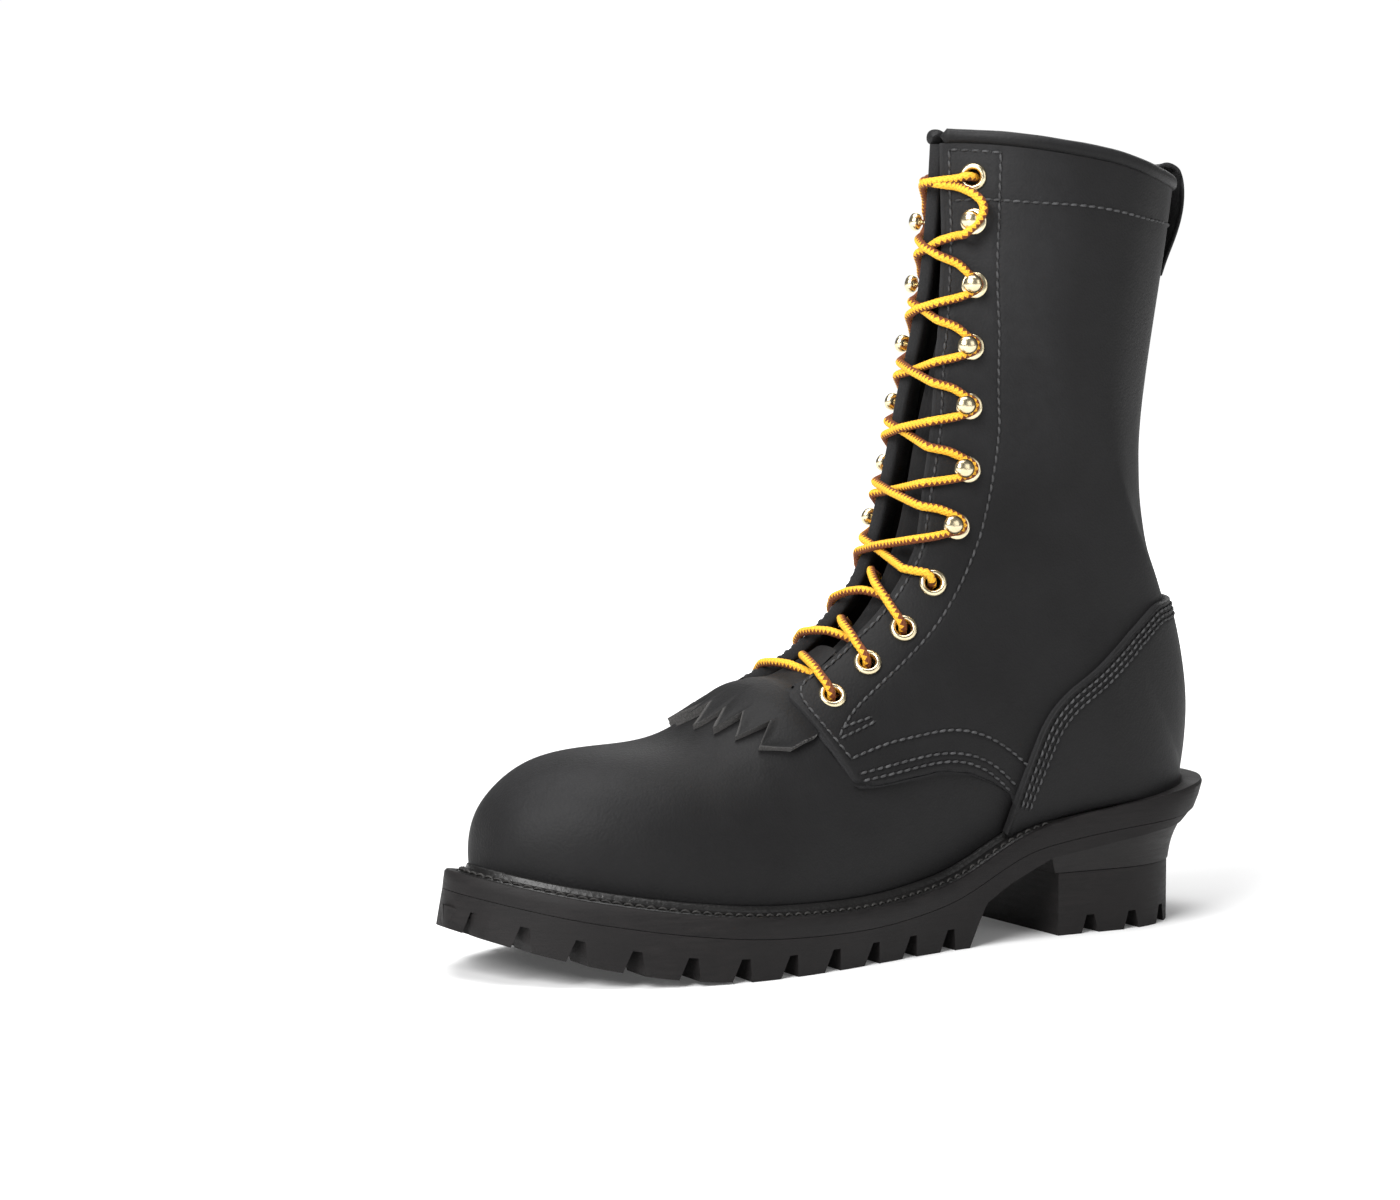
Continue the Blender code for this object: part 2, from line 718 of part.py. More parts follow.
def tread(name, edges, insets, columns, top, low, floor, finish):
    """Layer with a lugged underside; columns give share across the row and which rows reach down."""
    sides = []
    for side in (1, -1):
        shares = np.array([share for share, _ in edges[side]])
        x, middle, half = outline(shares, *insets)
        sides.append(np.stack([x, middle + side * half], -1))
    lug = np.array([flag for _, flag in edges[1]])
    left, right = sides
    wide = np.maximum(np.linalg.norm(left - right, axis=1), 1e-9)
    points, faces = [], []
    for i in range(len(lug)):
        for part, depth, reach in columns:
            across = part + min(abs(depth) / wide[i], 0.24) * (1 if depth >= 0 else -1)
            x, y = left[i] + across * (right[i] - left[i])
            down = lug[i] if reach == "lug" or wide[i] < 1e-6 else reach == "low"
            points.append((x, y, low(x) if down else floor(x)))
    for edge in (left, right):
        points.extend((x, y, top(x)) for x, y in edge)
    count, rows = len(columns), len(lug)
    upper_left, upper_right = rows * count, rows * count + rows
    for i in range(rows - 1):
        for j in range(count - 1):
            a = i * count + j
            faces.append((a, a + 1, a + count + 1, a + count))
        faces.append((upper_left + i, upper_left + i + 1, upper_right + i + 1, upper_right + i))
        faces.append((i * count, (i + 1) * count, upper_left + i + 1, upper_left + i))
        last = i * count + count - 1
        faces.append((last, upper_right + i, upper_right + i + 1, last + count))
    for i in (0, rows - 1):
        row = [i * count + j for j in range(count)]
        faces.append((*row, upper_right + i, upper_left + i))
    solid(name, points, faces, finish)


def outsole():
    """Full length rubber sole with edge lugs and cross bars under the forefoot."""
    plain = [(float(share), 0) for share in np.concatenate([
        0.5 * HEEL_ROUND * (1 - np.cos(np.linspace(0, math.pi / 2, 7))) * 2, (0.20, 0.27, 0.30, 0.33, 0.365)])]
    edges = {}
    for side in (1, -1):
        lugs = notch_rows(LUG_START, 0.9985, LUG_NOTCHES, LUG_PHASE, side)
        edges[side] = plain + [(LUG_BEGIN, 1)] + lugs + [(0.9985, 1), (1.0, 1)]
    bar = (0.5 - BAR_EDGE) * 2
    columns = (
        (0.0, 0.0, "lug"),
        (0.0, LUG_DEPTH, "lug"),
        (0.0, LUG_DEPTH + LUG_SLOPE, "floor"),
        (BAR_EDGE - 0.02, 0.0, "floor"),
        (BAR_EDGE, 0.0, "lug"),
        (BAR_EDGE + bar, 0.0, "lug"),
        (BAR_EDGE + bar + 0.02, 0.0, "floor"),
        (1.0, -LUG_DEPTH - LUG_SLOPE, "floor"),
        (1.0, -LUG_DEPTH, "lug"),
        (1.0, 0.0, "lug"),
    )
    tread("outsole", edges, (), columns, lambda x: midsole_bottom(x) - GAP, spring, tread_floor, BLACK_RUBBER)


def heel_stack():
    """Tapered heel layers under the outsole, drawn in at the back."""
    spread = 1 - np.cos(np.linspace(0, math.pi / 2, 13))
    top = (STACK_SIDE_TOP, STACK_BACK_TOP)
    low = (STACK_SIDE_LOW, STACK_BACK_LOW)
    slab(
        "heel_stack",
        (share_of(BREAST_TOP, *top) * spread, top, lambda x: tread_floor(x) - GAP),
        (share_of(BREAST_MIDDLE, *low) * spread, low, lambda x: np.full_like(x, STACK_SPLIT)), BLACK_RUBBER)


def heel_toplift():
    """Lugged rubber top lift on which the heel stands."""
    insets = (LIFT_SIDE, LIFT_BACK)
    end = share_of(BREAST_LOW, *insets)
    edges = {}
    for side in (1, -1):
        start = [(0.0, 1), (0.006, 1), (0.02, 1)]
        edges[side] = start + notch_rows(0.02, end, HEEL_NOTCHES, HEEL_PHASE, side, insets) + [(end, 1)]
    columns = (
        (0.0, 0.0, "lug"),
        (0.0, HEEL_NOTCH_DEPTH, "lug"),
        (0.0, HEEL_NOTCH_DEPTH + LUG_SLOPE, "low"),
        (1.0, -HEEL_NOTCH_DEPTH - LUG_SLOPE, "low"),
        (1.0, -HEEL_NOTCH_DEPTH, "lug"),
        (1.0, 0.0, "lug"),
    )
    tread(
        "heel_toplift", edges, insets, columns,
        lambda x: STACK_SPLIT - GAP, lambda x: 0.0, lambda x: HEEL_LUG, BLACK_RUBBER)


# Fastenings
def eyelets():
    """Brass eyelets, five to a side."""
    profile = (
        (EYELET_HOLE, 0.0), (EYELET_OUTER, 0.0), (EYELET_OUTER - 0.0011, EYELET_HIGH),
        (EYELET_HOLE, 0.7 * EYELET_HIGH))
    for word, side in (("lateral", 1), ("medial", -1)):
        for number, s in enumerate((*EYELET_SECTIONS, TOP_EYELET), 1):
            lathe(f"eyelet_{word}_{number}", s, float(row_k(s)), side, LAP + SEAT, profile, 8, BRASS)


def hooks():
    """Ball headed lace hooks, six to a side."""
    profile = (
        (0.0, 0.0), (HOOK_BASE, 0.0), (HOOK_BASE - 0.0004, HOOK_BASE_HIGH), (HOOK_NECK, HOOK_BASE_HIGH),
        (HOOK_NECK, HOOK_NECK_TOP), (HOOK_HEAD, HOOK_NECK_TOP + 0.0011), (0.8 * HOOK_HEAD, HOOK_HIGH - 0.0011),
        (0.0, HOOK_HIGH))
    for word, side in (("lateral", 1), ("medial", -1)):
        for number, s in enumerate(HOOK_SECTIONS, 1):
            lathe(f"hook_{word}_{number}", s, float(row_k(s)), side, LAP + SEAT, profile, 6, BRASS)


UNDER = -(WALL + LACE + 2 * GAP)
OVER = LAP + LACE + 0.0005


def lace_bar():
    """Bottom bar of the lace, inside the lowest pair of eyelets."""
    s = EYELET_SECTIONS[0]
    edge = float(row_k(s))
    marks = [skin(s, edge * part, 1, UNDER) for part in (0.95, 0.6, 0.3, 0.0)]
    marks += [skin(s, edge * part, -1, UNDER) for part in (0.3, 0.6, 0.95)]
    sweep_tube("lace_bar", smooth_path(marks), (LACE, LACE), 5, YELLOW_LACE)


def lace_crossings():
    """Strands from each eyelet over its edge, across the throat and under the other edge."""
    for i in range(3):
        low, high = EYELET_SECTIONS[i:i + 2]
        for word, side, middle in (("a", 1, 0.0042), ("b", -1, -0.0024)):
            s = low + (high - low) * np.linspace(0, 1, 7)
            row, edge = row_k(s), throat_k(s)
            marks = [
                skin(s[0], row[0], side, LAP + SEAT + EYELET_HIGH + LACE + 3 * GAP),
                skin(s[1], 0.45 * row[1] + 0.55 * edge[1], side, OVER + 0.0006),
                skin(s[2], 0.80 * edge[2], side, OVER),
                skin(s[3], 0.0, side, middle),
                skin(s[4], 0.50 * edge[4], -side, 0.4 * middle - 0.0026),
                skin(s[5], 0.92 * edge[5], -side, UNDER - 0.0002),
                skin(s[6] - 0.08, 0.3 * row[6] + 0.7 * edge[6], -side, UNDER - 0.0002),
            ]
            sweep_tube(f"lace_cross_{i + 1}_{word}", smooth_path(marks), (LACE, LACE), 5, YELLOW_LACE)


def hook_wrap(s, side):
    """Marks of a lace coming up to a hook, round its far side and off over its top."""
    k = float(row_k(s))
    high = LAP + SEAT + HOOK_BASE_HIGH + LACE + GAP
    place = skin(s, k, side, high)
    up = surface(s + 0.05, row_k(s + 0.05), side) - surface(s - 0.05, row_k(s - 0.05), side)
    up /= np.linalg.norm(up)
    away = np.cross(up, normal(s, k, side))
    away *= np.sign(away[1] * side)
    reach = HOOK_NECK + LACE + 0.0004
    return [
        place + reach * (-1.35 * up - 0.6 * away),
        place + reach * (1.05 * away - 0.6 * up),
        place + reach * (1.05 * away + 0.6 * up),
        place + reach * (1.35 * up - 0.6 * away),
    ]


def lace_upper():
    """Two strands from the fourth eyelets, crossing between the hooks up to the top eyelets."""
    for word, first, middle in (("a", 1, 0.0058), ("b", -1, 0.0018)):
        side, s = first, EYELET_SECTIONS[-1]
        marks = [skin(s, row_k(s), side, LAP + SEAT + EYELET_HIGH + LACE + 3 * GAP)]
        for nxt in (*HOOK_SECTIONS, TOP_EYELET):
            for part, whose in ((0.3, side), (0.5, 0), (0.7, -side)):
                at = s + part * (nxt - s)
                if whose:
                    marks.append(skin(at, 0.85 * throat_k(at), whose, OVER + 0.5 * middle))
                else:
                    marks.append(skin(at, 0.0, 1, middle))
            side, s = -side, nxt
            if nxt == TOP_EYELET:
                marks.append(skin(s, row_k(s), side, LAP + SEAT + EYELET_HIGH + LACE + 3 * GAP))
            else:
                marks.extend(hook_wrap(s, side))
        sweep_tube(f"lace_upper_{word}", smooth_path(marks), (LACE, LACE), 5, YELLOW_LACE)


def build():
    """Make every sub-part."""
    for old in list(bpy.data.objects):
        bpy.data.objects.remove(old, do_unlink=True)
    for make in (
            upper, counter, backstay, collar_binding, pull_loop, tongue, kiltie, welt, insole, midsole, outsole,
            heel_stack, heel_toplift, eyelets, hooks, lace_bar, lace_crossings, lace_upper):
        make()


build()
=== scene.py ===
"""Looks of a left wildland fire boot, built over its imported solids.

Metres, +X to the toe, +Y to the outer side, +Z up, origin on the floor under the middle of the sole.
"""

import logging
import math
from collections.abc import Callable
from dataclasses import dataclass, field
from enum import Enum

import bmesh
import bpy
import numpy as np
from mathutils import Matrix, Vector


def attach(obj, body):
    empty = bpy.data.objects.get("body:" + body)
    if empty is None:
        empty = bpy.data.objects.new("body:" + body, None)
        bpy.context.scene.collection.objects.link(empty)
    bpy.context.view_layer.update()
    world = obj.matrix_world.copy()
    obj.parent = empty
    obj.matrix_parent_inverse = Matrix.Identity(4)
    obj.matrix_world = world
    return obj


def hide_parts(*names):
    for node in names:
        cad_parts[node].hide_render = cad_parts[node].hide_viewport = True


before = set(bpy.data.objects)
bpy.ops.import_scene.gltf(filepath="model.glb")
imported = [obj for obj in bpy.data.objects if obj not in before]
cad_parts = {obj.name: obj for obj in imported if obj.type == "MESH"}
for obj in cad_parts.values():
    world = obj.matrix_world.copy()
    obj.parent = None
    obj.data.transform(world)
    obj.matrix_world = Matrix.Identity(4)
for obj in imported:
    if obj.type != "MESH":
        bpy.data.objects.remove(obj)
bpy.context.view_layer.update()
LOG = logging.getLogger("boot")
Array = np.ndarray
Colour = tuple[float, float, float]
Columns = dict[str, Array]
Socket = bpy.types.NodeSocket
Sockets = dict[str, Socket]
Heights = Callable[[Array, Array], Array]
Level = Callable[[Array], Array]
Notches = list[tuple[float, int]]
Pairs = tuple[tuple[float, ...], ...]


def table(columns: str, *rows: tuple[float, ...]) -> Columns:
    """Columns of numbers under the names given, which blanks part."""
    return dict(zip(columns.split(), np.array(rows, float).T))


# Shape of last and sole
SOLE_PLAN = table(
    "share middle half",
    (0.00, 0.0000, 0.0400),
    (0.12, 0.0003, 0.0402),
    (0.26, 0.0010, 0.0378),
    (0.40, 0.0040, 0.0360),
    (0.53, 0.0035, 0.0450),
    (0.65, 0.0015, 0.0540),
    (0.75, -0.0005, 0.0562),
    (0.87, -0.0030, 0.0525),
    (1.00, -0.0065, 0.0460),
)
FEATHER_LINE = table(
    "share height",
    (0.00, 0.0520),
    (0.12, 0.0495),
    (0.27, 0.0440),
    (0.40, 0.0360),
    (0.53, 0.0300),
    (0.66, 0.0270),
    (0.76, 0.0270),
    (0.88, 0.0310),
    (1.00, 0.0400),
)
WAIST_DROP = table(
    "share drop",
    (0.00, 0.0000),
    (0.20, 0.0000),
    (0.26, 0.0000),
    (0.30, 0.0005),
    (0.35, 0.0040),
    (0.40, 0.0078),
    (0.46, 0.0088),
    (0.53, 0.0080),
    (0.62, 0.0055),
    (0.70, 0.0034),
    (0.78, 0.0012),
    (0.86, 0.0000),
    (1.00, 0.0000),
)
SOLE_FLOOR = table(
    "share height",
    (0.00, 0.0403),
    (0.12, 0.0375),
    (0.27, 0.0308),
    (0.33, 0.0225),
    (0.365, 0.0160),
    (0.378, 0.0080),
    (0.68, 0.0080),
)
BACK_SEAM = table(
    "height x",
    (0.0520, -0.1505),
    (0.0700, -0.1530),
    (0.0880, -0.1512),
    (0.1070, -0.1460),
    (0.1270, -0.1376),
    (0.1500, -0.1318),
    (0.1730, -0.1298),
    (0.2000, -0.1318),
    (0.2280, -0.1362),
    (0.2620, -0.1420),
    (0.2800, -0.1446),
)
SECTIONS = table(
    "ridge_x ridge_y ridge_z turn half power",
    (0.1460, -0.0065, 0.0367, 0.000, 0.000, 2.3),
    (0.1425, -0.0064, 0.0545, 0.100, 0.015, 2.3),
    (0.1335, -0.0058, 0.0665, 0.165, 0.025, 2.3),
    (0.1170, -0.0048, 0.0755, 0.240, 0.035, 2.3),
    (0.0935, -0.0034, 0.0785, 0.315, 0.041, 2.3),
    (0.0670, -0.0020, 0.0820, 0.400, 0.042, 2.2),
    (0.0427, -0.0006, 0.0954, 0.475, 0.040, 2.1),
    (0.0169, 0.0009, 0.1091, 0.540, 0.037, 2.0),
    (-0.0108, 0.0016, 0.1347, 0.620, 0.035, 2.0),
    (-0.0226, 0.0018, 0.1698, 0.720, 0.034, 2.0),
    (-0.0290, 0.0020, 0.2000, 0.850, 0.034, 2.1),
    (-0.0350, 0.0023, 0.2220, 1.000, 0.034, 2.2),
    (-0.0390, 0.0027, 0.2430, 1.250, 0.034, 2.2),
    (-0.0410, 0.0030, 0.2650, 1.600, 0.035, 2.2),
    (-0.0420, 0.0030, 0.2970, 2.000, 0.037, 2.2),
)
THROAT = table(
    "section gap row",
    (6.05, 0.0000, 0.0262),
    (6.30, 0.0142, 0.0262),
    (6.60, 0.0165, 0.0258),
    (7.00, 0.0150, 0.0240),
    (7.50, 0.0140, 0.0222),
    (8.00, 0.0148, 0.0226),
    (8.60, 0.0161, 0.0223),
    (9.20, 0.0140, 0.0222),
    (10.00, 0.0125, 0.0203),
    (11.00, 0.0093, 0.0171),
    (11.50, 0.0080, 0.0157),
    (12.00, 0.0067, 0.0151),
    (13.00, 0.0052, 0.0130),
    (13.60, 0.0034, 0.0118),
    (14.00, 0.0026, 0.0112),
)
# Fall of the shaft, seams, edges and profiles
SHAFT_FALL = table(
    "section depth",
    (7.40, 0.0000),
    (9.30, 0.0060),
    (11.00, 0.0078),
    (12.30, 0.0105),
    (13.20, 0.0115),
)
QUARTER_SEAM = table(
    "across section",
    (0.000, 6.530),
    (0.006, 6.440),
    (0.016, 6.375),
    (0.032, 6.320),
    (0.055, 6.285),
    (0.085, 6.275),
    (0.153, 6.270),
    (0.256, 6.265),
    (0.365, 6.265),
    (0.472, 6.280),
    (0.564, 6.300),
    (0.594, 6.850),
    (0.634, 7.400),
    (0.700, 7.750),
    (0.783, 8.000),
    (0.855, 8.150),
    (0.928, 8.150),
    (1.000, 8.100),
)
COUNTER_EDGE = table(
    "x height",
    (-0.1500, 0.1245),
    (-0.1380, 0.1245),
    (-0.1280, 0.1241),
    (-0.1216, 0.1230),
    (-0.1170, 0.1200),
    (-0.1082, 0.1130),
    (-0.1004, 0.1066),
    (-0.0881, 0.0983),
    (-0.0813, 0.0942),
    (-0.0746, 0.0889),
    (-0.0704, 0.0843),
    (-0.0661, 0.0773),
    (-0.0618, 0.0676),
    (-0.0573, 0.0559),
    (-0.0530, 0.0402),
)
KILTIE_EDGE = table(
    "across section",
    (0.000, 5.62),
    (0.058, 5.16),
    (0.080, 5.62),
    (0.160, 5.24),
    (0.178, 5.70),
    (0.254, 5.35),
    (0.288, 5.84),
    (0.352, 5.47),
    (0.425, 5.80),
)
KILTIE_LIFT = table(
    "section top",
    (5.10, 0.0024),
    (5.80, 0.0026),
    (6.12, 0.0024),
    (6.26, 0.0014),
    (6.40, 0.0002),
    (6.60, -0.0024),
    (6.80, -0.0034),
    (7.30, -0.0050),
)
LOOP_PROFILE = table(
    "section high inner outer",
    (13.80, 0.0000, -0.0048, -0.0028),
    (14.00, 0.0000, -0.0058, -0.0038),
    (14.00, 0.0062, -0.0060, -0.0040),
    (14.00, 0.0102, -0.0036, -0.0036),
    (14.00, 0.0116, 0.0000, 0.0000),
    (14.00, 0.0096, 0.0046, 0.0046),
    (14.00, 0.0044, 0.0074, 0.0056),
    (13.95, 0.0000, 0.0084, 0.0064),
    (13.84, 0.0000, 0.0072, 0.0052),
    (13.74, 0.0000, 0.0050, 0.0030),
    (13.66, 0.0000, 0.0036, 0.0014),
)
HEEL_CURVE = table(
    "drop side back",
    (0.00, 0.0016, 0.0066),
    (0.16, 0.0022, 0.0080),
    (0.40, 0.0031, 0.0096),
    (0.70, 0.0040, 0.0108),
    (1.00, 0.0046, 0.0114),
)
# Sections of fastenings, heel and collar
EYELET_SECTIONS = (6.78, 7.355, 7.86, 8.435)
HOOK_SECTIONS = (9.105, 9.755, 10.515, 11.355, 12.295, 13.165)
TOP_EYELET = 13.655
HEEL_SECTION = 11.0
TOP = 14.0
# Gap between layers, and the grooves that stitches press into leather
GAP = 0.0003
GROOVE_DEPTH = 0.00035
GROOVE_WIDTH = 0.0008
GROOVE_REACH = 0.004
# Length of one turn of the lace's plait
PLAIT_PITCH = 0.0019


class Side(Enum):
    """Outer and inner side of the left boot."""

    OUTER = 1
    INNER = -1

    @property
    def other(self) -> "Side":
        """The opposite side."""
        return Side(-self.value)


class Reach(Enum):
    """Where a line along the tread goes down to the floor: at lugs, nowhere or everywhere."""

    LUG = "lug"
    FLOOR = "floor"
    LOW = "low"


class Curve:
    """Natural cubic curves through the columns of a table."""

    def __init__(self, rows: Columns, along: str | None = None) -> None:
        """Work out the curve's bends.

        Args:
            rows: Columns of numbers.
            along: Column that says where each row stands, or none for the row's number.
        """
        count = len(next(iter(rows.values())))
        self.knots = rows[along] if along else np.arange(count, dtype=float)
        self.rows = rows
        self.bends = {name: self.bend(values) for name, values in rows.items()}

    def bend(self, values: Array) -> Array:
        """Second derivatives at the rows.

        Args:
            values: One column.

        Returns:
            A second derivative per row.
        """
        step = np.diff(self.knots)
        count = len(self.knots)
        system = np.eye(count)
        right = np.zeros(count)
        for i in range(1, count - 1):
            system[i, i - 1:i + 2] = step[i - 1], 2 * (step[i - 1] + step[i]), step[i]
            rise = (values[i + 1] - values[i]) / step[i]
            right[i] = 6 * (rise - (values[i] - values[i - 1]) / step[i - 1])
        return np.linalg.solve(system, right)

    def at(self, name: str, place: Array | float) -> Array:
        """Value of one column at a place along the table.

        Args:
            name: Column.
            place: Places along the table.

        Returns:
            Values at those places.
        """
        place = np.asarray(place, float)
        i = np.clip(np.searchsorted(self.knots, place, side="right") - 1, 0, len(self.knots) - 2)
        low, high = self.rows[name][i], self.rows[name][i + 1]
        m_low, m_high = self.bends[name][i], self.bends[name][i + 1]
        width = self.knots[i + 1] - self.knots[i]
        d = place - self.knots[i]
        slope = (high - low) / width - width * (2 * m_low + m_high) / 6
        return low + d * slope + d ** 2 * m_low / 2 + d ** 3 * (m_high - m_low) / (6 * width)


def unit(vectors: Array) -> Array:
    """Vectors of length one."""
    return vectors / np.maximum(np.linalg.norm(vectors, axis=-1, keepdims=True), 1e-12)


def ease(low: float, high: float, value: Array | float) -> Array:
    """Soft step from 0 at low to 1 at high."""
    t = np.clip((np.asarray(value, float) - low) / (high - low), 0, 1)
    return t * t * (3 - 2 * t)


def straight(rows: Columns, name: str, place: Array | float) -> Array:
    """Column of a table at places along its first column, straight between the rows."""
    return np.interp(place, next(iter(rows.values())), rows[name])


def lengths(points: Array) -> Array:
    """Distance along a line at each of its points."""
    return np.concatenate([[0.0], np.cumsum(np.linalg.norm(np.diff(points, axis=0), axis=1))])


def follow(places: Array, run: Array, points: Array) -> Array:
    """Points of a line at distances along it, where run is the distance at each point."""
    return np.stack([np.interp(places, run, points[:, i]) for i in range(3)], -1)


def bell(reach: int, width: float) -> Array:
    """Bell-shaped weights for steps from -reach to reach."""
    return np.exp(-0.5 * (np.arange(-reach, reach + 1) / width) ** 2)


def spread(*values: Array | float) -> list[Array]:
    """Values as arrays of one shape."""
    return np.broadcast_arrays(*(np.asarray(value, float) for value in values))


@dataclass(frozen=True)
class Line:
    """Evenly spaced points of a line on the leather, with directions out of it and along it."""

    points: Array
    out: Array
    along: Array


@dataclass(frozen=True)
class Last:
    """Shape of the last and of the sole under it."""

    length: float = 0.317
    heel_round: float = 0.135
    toe_round: float = 0.28
    heel_power: float = 2.2
    toe_power: float = 2.3
    feather_side: float = 0.0085
    feather_heel: float = 0.0080
    feather_toe: float = 0.0125
    toe_spring: float = 0.0180
    spring_start: float = 0.68
    lug: float = 0.0080
    heel_soft: float = 0.50
    fall_reach: float = 0.008
    falls: bool = True
    plan: Curve = field(default_factory=lambda: Curve(SOLE_PLAN, "share"))
    feather: Curve = field(default_factory=lambda: Curve(FEATHER_LINE, "share"))
    waist: Curve = field(default_factory=lambda: Curve(WAIST_DROP, "share"))
    waist_back: float = 0.26
    waist_fore: float = 0.86
    skirt: float = 0.55
    back_seam: Curve = field(default_factory=lambda: Curve(BACK_SEAM, "height"))
    counter_line: Curve = field(default_factory=lambda: Curve(COUNTER_EDGE, "x"))
    sections: Curve = field(default_factory=lambda: Curve(SECTIONS))

    @property
    def half(self) -> float:
        """Half the sole's length."""
        return self.length / 2

    def share_at(self, x: Array) -> Array:
        """Share of the sole's length from the heel."""
        return np.clip((x + self.half) / self.length, 0, 1)

    def share_of(self, x: float, side: float, heel: float) -> float:
        """Share at which an outline drawn in at side and heel reaches x."""
        return (x + self.half - heel) / (self.length - heel - side)

    def rounding(self, share: Array) -> Array:
        """Narrowing of the sole's plan at heel and toe.

        Args:
            share: Shares of the sole's length.

        Returns:
            Factor on the half width.
        """
        share = np.clip(share, 0, 1)
        heel = np.clip(1 - share / self.heel_round, 0, 1) ** self.heel_power
        toe = np.clip((share - (1 - self.toe_round)) / self.toe_round, 0, 1) ** self.toe_power
        return np.sqrt(np.clip(1 - heel, 0, 1) * np.clip(1 - toe, 0, 1))

    def outline(
            self, share: Array, inset: float | Array = 0.0, heel: float | Array | None = None,
            toe: float | Array | None = None) -> tuple[Array, Array, Array]:
        """Outline drawn in from the sole's edge.

        Args:
            share: Shares of the outline's length.
            inset: Distance drawn in at the sides.
            heel: Distance drawn in at the heel, the sides' if left out.
            toe: Distance drawn in at the toe, the sides' if left out.

        Returns:
            Place along the sole, middle and half width.
        """
        share = np.asarray(share, float)
        heel = inset if heel is None else heel
        toe = inset if toe is None else toe
        x = -self.half + heel + share * (self.length - heel - toe)
        half = (self.plan.at("half", share) - inset) * self.rounding(share)
        return x, self.plan.at("middle", share), half

    def hang(self, x: Array) -> Array:
        """Drop of the upper's edge below the last's line at the waist."""
        share = self.share_at(x)
        inside = (share > self.waist_back) & (share < self.waist_fore)
        return np.where(inside, np.maximum(self.waist.at("drop", share), 0), 0.0)

    def rise(self, x: Array) -> Array:
        """Height of the line where upper and sole meet."""
        return self.feather.at("height", self.share_at(x)) - self.hang(x)

    def spring(self, x: Array) -> Array:
        """Height of the tread's lowest faces, flat to the ball and rising at the toe."""
        start = self.spring_start
        return self.toe_spring * np.clip((self.share_at(x) - start) / (1 - start), 0, 1) ** 2

    def tread_floor(self, x: Array) -> Array:
        """Height of the tread between its lugs."""
        share = self.share_at(x)
        level = straight(SOLE_FLOOR, "height", share)
        return np.where(share > self.spring_start, self.lug + self.spring(x), level)

    def section(self, s: Array) -> tuple[list[Array], list[Array], Array, Array, Array]:
        """Slanting section of the last.

        Args:
            s: Section numbers from toe tip to collar.

        Returns:
            Ridge point, edge point, half width, bend and sweep of each section.
        """
        ridge = [self.sections.at(name, s) for name in ("ridge_x", "ridge_y", "ridge_z")]
        turn = np.clip(self.sections.at("turn", s), 0, 2)
        share = (1 + np.cos(np.pi * np.clip(turn, 0, 1))) / 2
        x, middle, half = self.outline(share, self.feather_side, self.feather_heel, self.feather_toe)
        low, high = BACK_SEAM["height"][0], BACK_SEAM["height"][-1]
        height = low + np.clip(turn - 1, 0, 1) * (high - low)
        behind = turn > 1
        edge = [
            np.where(behind, self.back_seam.at("x", height), x),
            np.where(behind, SOLE_PLAN["middle"][0], middle),
            np.where(behind, height, self.rise(x)),
        ]
        half = np.where(behind, 0.0, half)
        width = (np.maximum(self.sections.at("half", s), 1e-6) ** 8 + half ** 8) ** 0.125
        bend = 2 / self.sections.at("power", s)
        sweep = np.pi - np.arcsin(np.clip(half / width, 0, 1) ** (1 / bend))
        return ridge, edge, width, bend, sweep

    def bare(self, s: Array, k: Array, side: Side) -> Array:
        """Points of the last's skin, falling back beside the throat on the shaft.

        Args:
            s: Sections from toe tip to collar.
            k: Shares from ridge to edge.
            side: Side of the boot.

        Returns:
            Points.
        """
        ridge, edge, width, bend, sweep = self.section(s)
        angle = k * sweep
        part = (1 - np.cos(angle)) / (1 - np.cos(sweep))
        x, y, z = (a + part * (b - a) for a, b in zip(ridge, edge))
        z = z + self.hang(edge[0]) * (part - np.clip((part - self.skirt) / (1 - self.skirt), 0, 1) ** 2)
        half = width * np.clip(np.sin(angle), 0, 1) ** bend
        if self.falls:
            beyond = np.maximum(half - straight(THROAT, "gap", s), 0)
            fall = straight(SHAFT_FALL, "depth", s) * (1 - np.exp(-beyond / self.fall_reach))
            x = x - fall * (1 - ease(0.35, 0.85, part))
        return np.stack([x, y + side.value * half, z], -1)

    def surface(self, s: Array, k: Array, side: Side) -> Array:
        """Points of the last's skin, softened where the heel's edge turns up the back.

        Args:
            s: Sections from toe tip to collar.
            k: Shares from ridge to edge.
            side: Side of the boot.

        Returns:
            Points.
        """
        s, k = spread(s, k)
        if (np.abs(s - HEEL_SECTION) > 1.5).all():
            return self.bare(s, k, side)
        reach = self.heel_soft * np.exp(-((s - HEEL_SECTION) / 0.6) ** 2) * (1 - np.clip(k, 0, 1) ** 16)
        steps = np.linspace(-1, 1, 11)
        weights = (1 - np.abs(steps) / 1.2) / (1 - np.abs(steps) / 1.2).sum()
        return sum(w * self.bare(s + step * reach, k, side) for step, w in zip(steps, weights))

    def one_normal(self, s: Array, k: Array, side: Side) -> Array:
        """Outward directions of one half of the skin.

        Args:
            s: Sections.
            k: Shares from ridge to edge.
            side: Side of the boot.

        Returns:
            Directions of length one.
        """
        s = np.clip(s, 0.03, TOP)
        step = 0.002
        fore, aft = np.maximum(s - step, 0.02), np.minimum(s + step, TOP)
        low, high = np.maximum(k - step, 0), np.minimum(k + step, 1)
        along = self.surface(aft, k, side) - self.surface(fore, k, side)
        across = self.surface(s, high, side) - self.surface(s, low, side)
        return unit(side.value * np.cross(across, along))

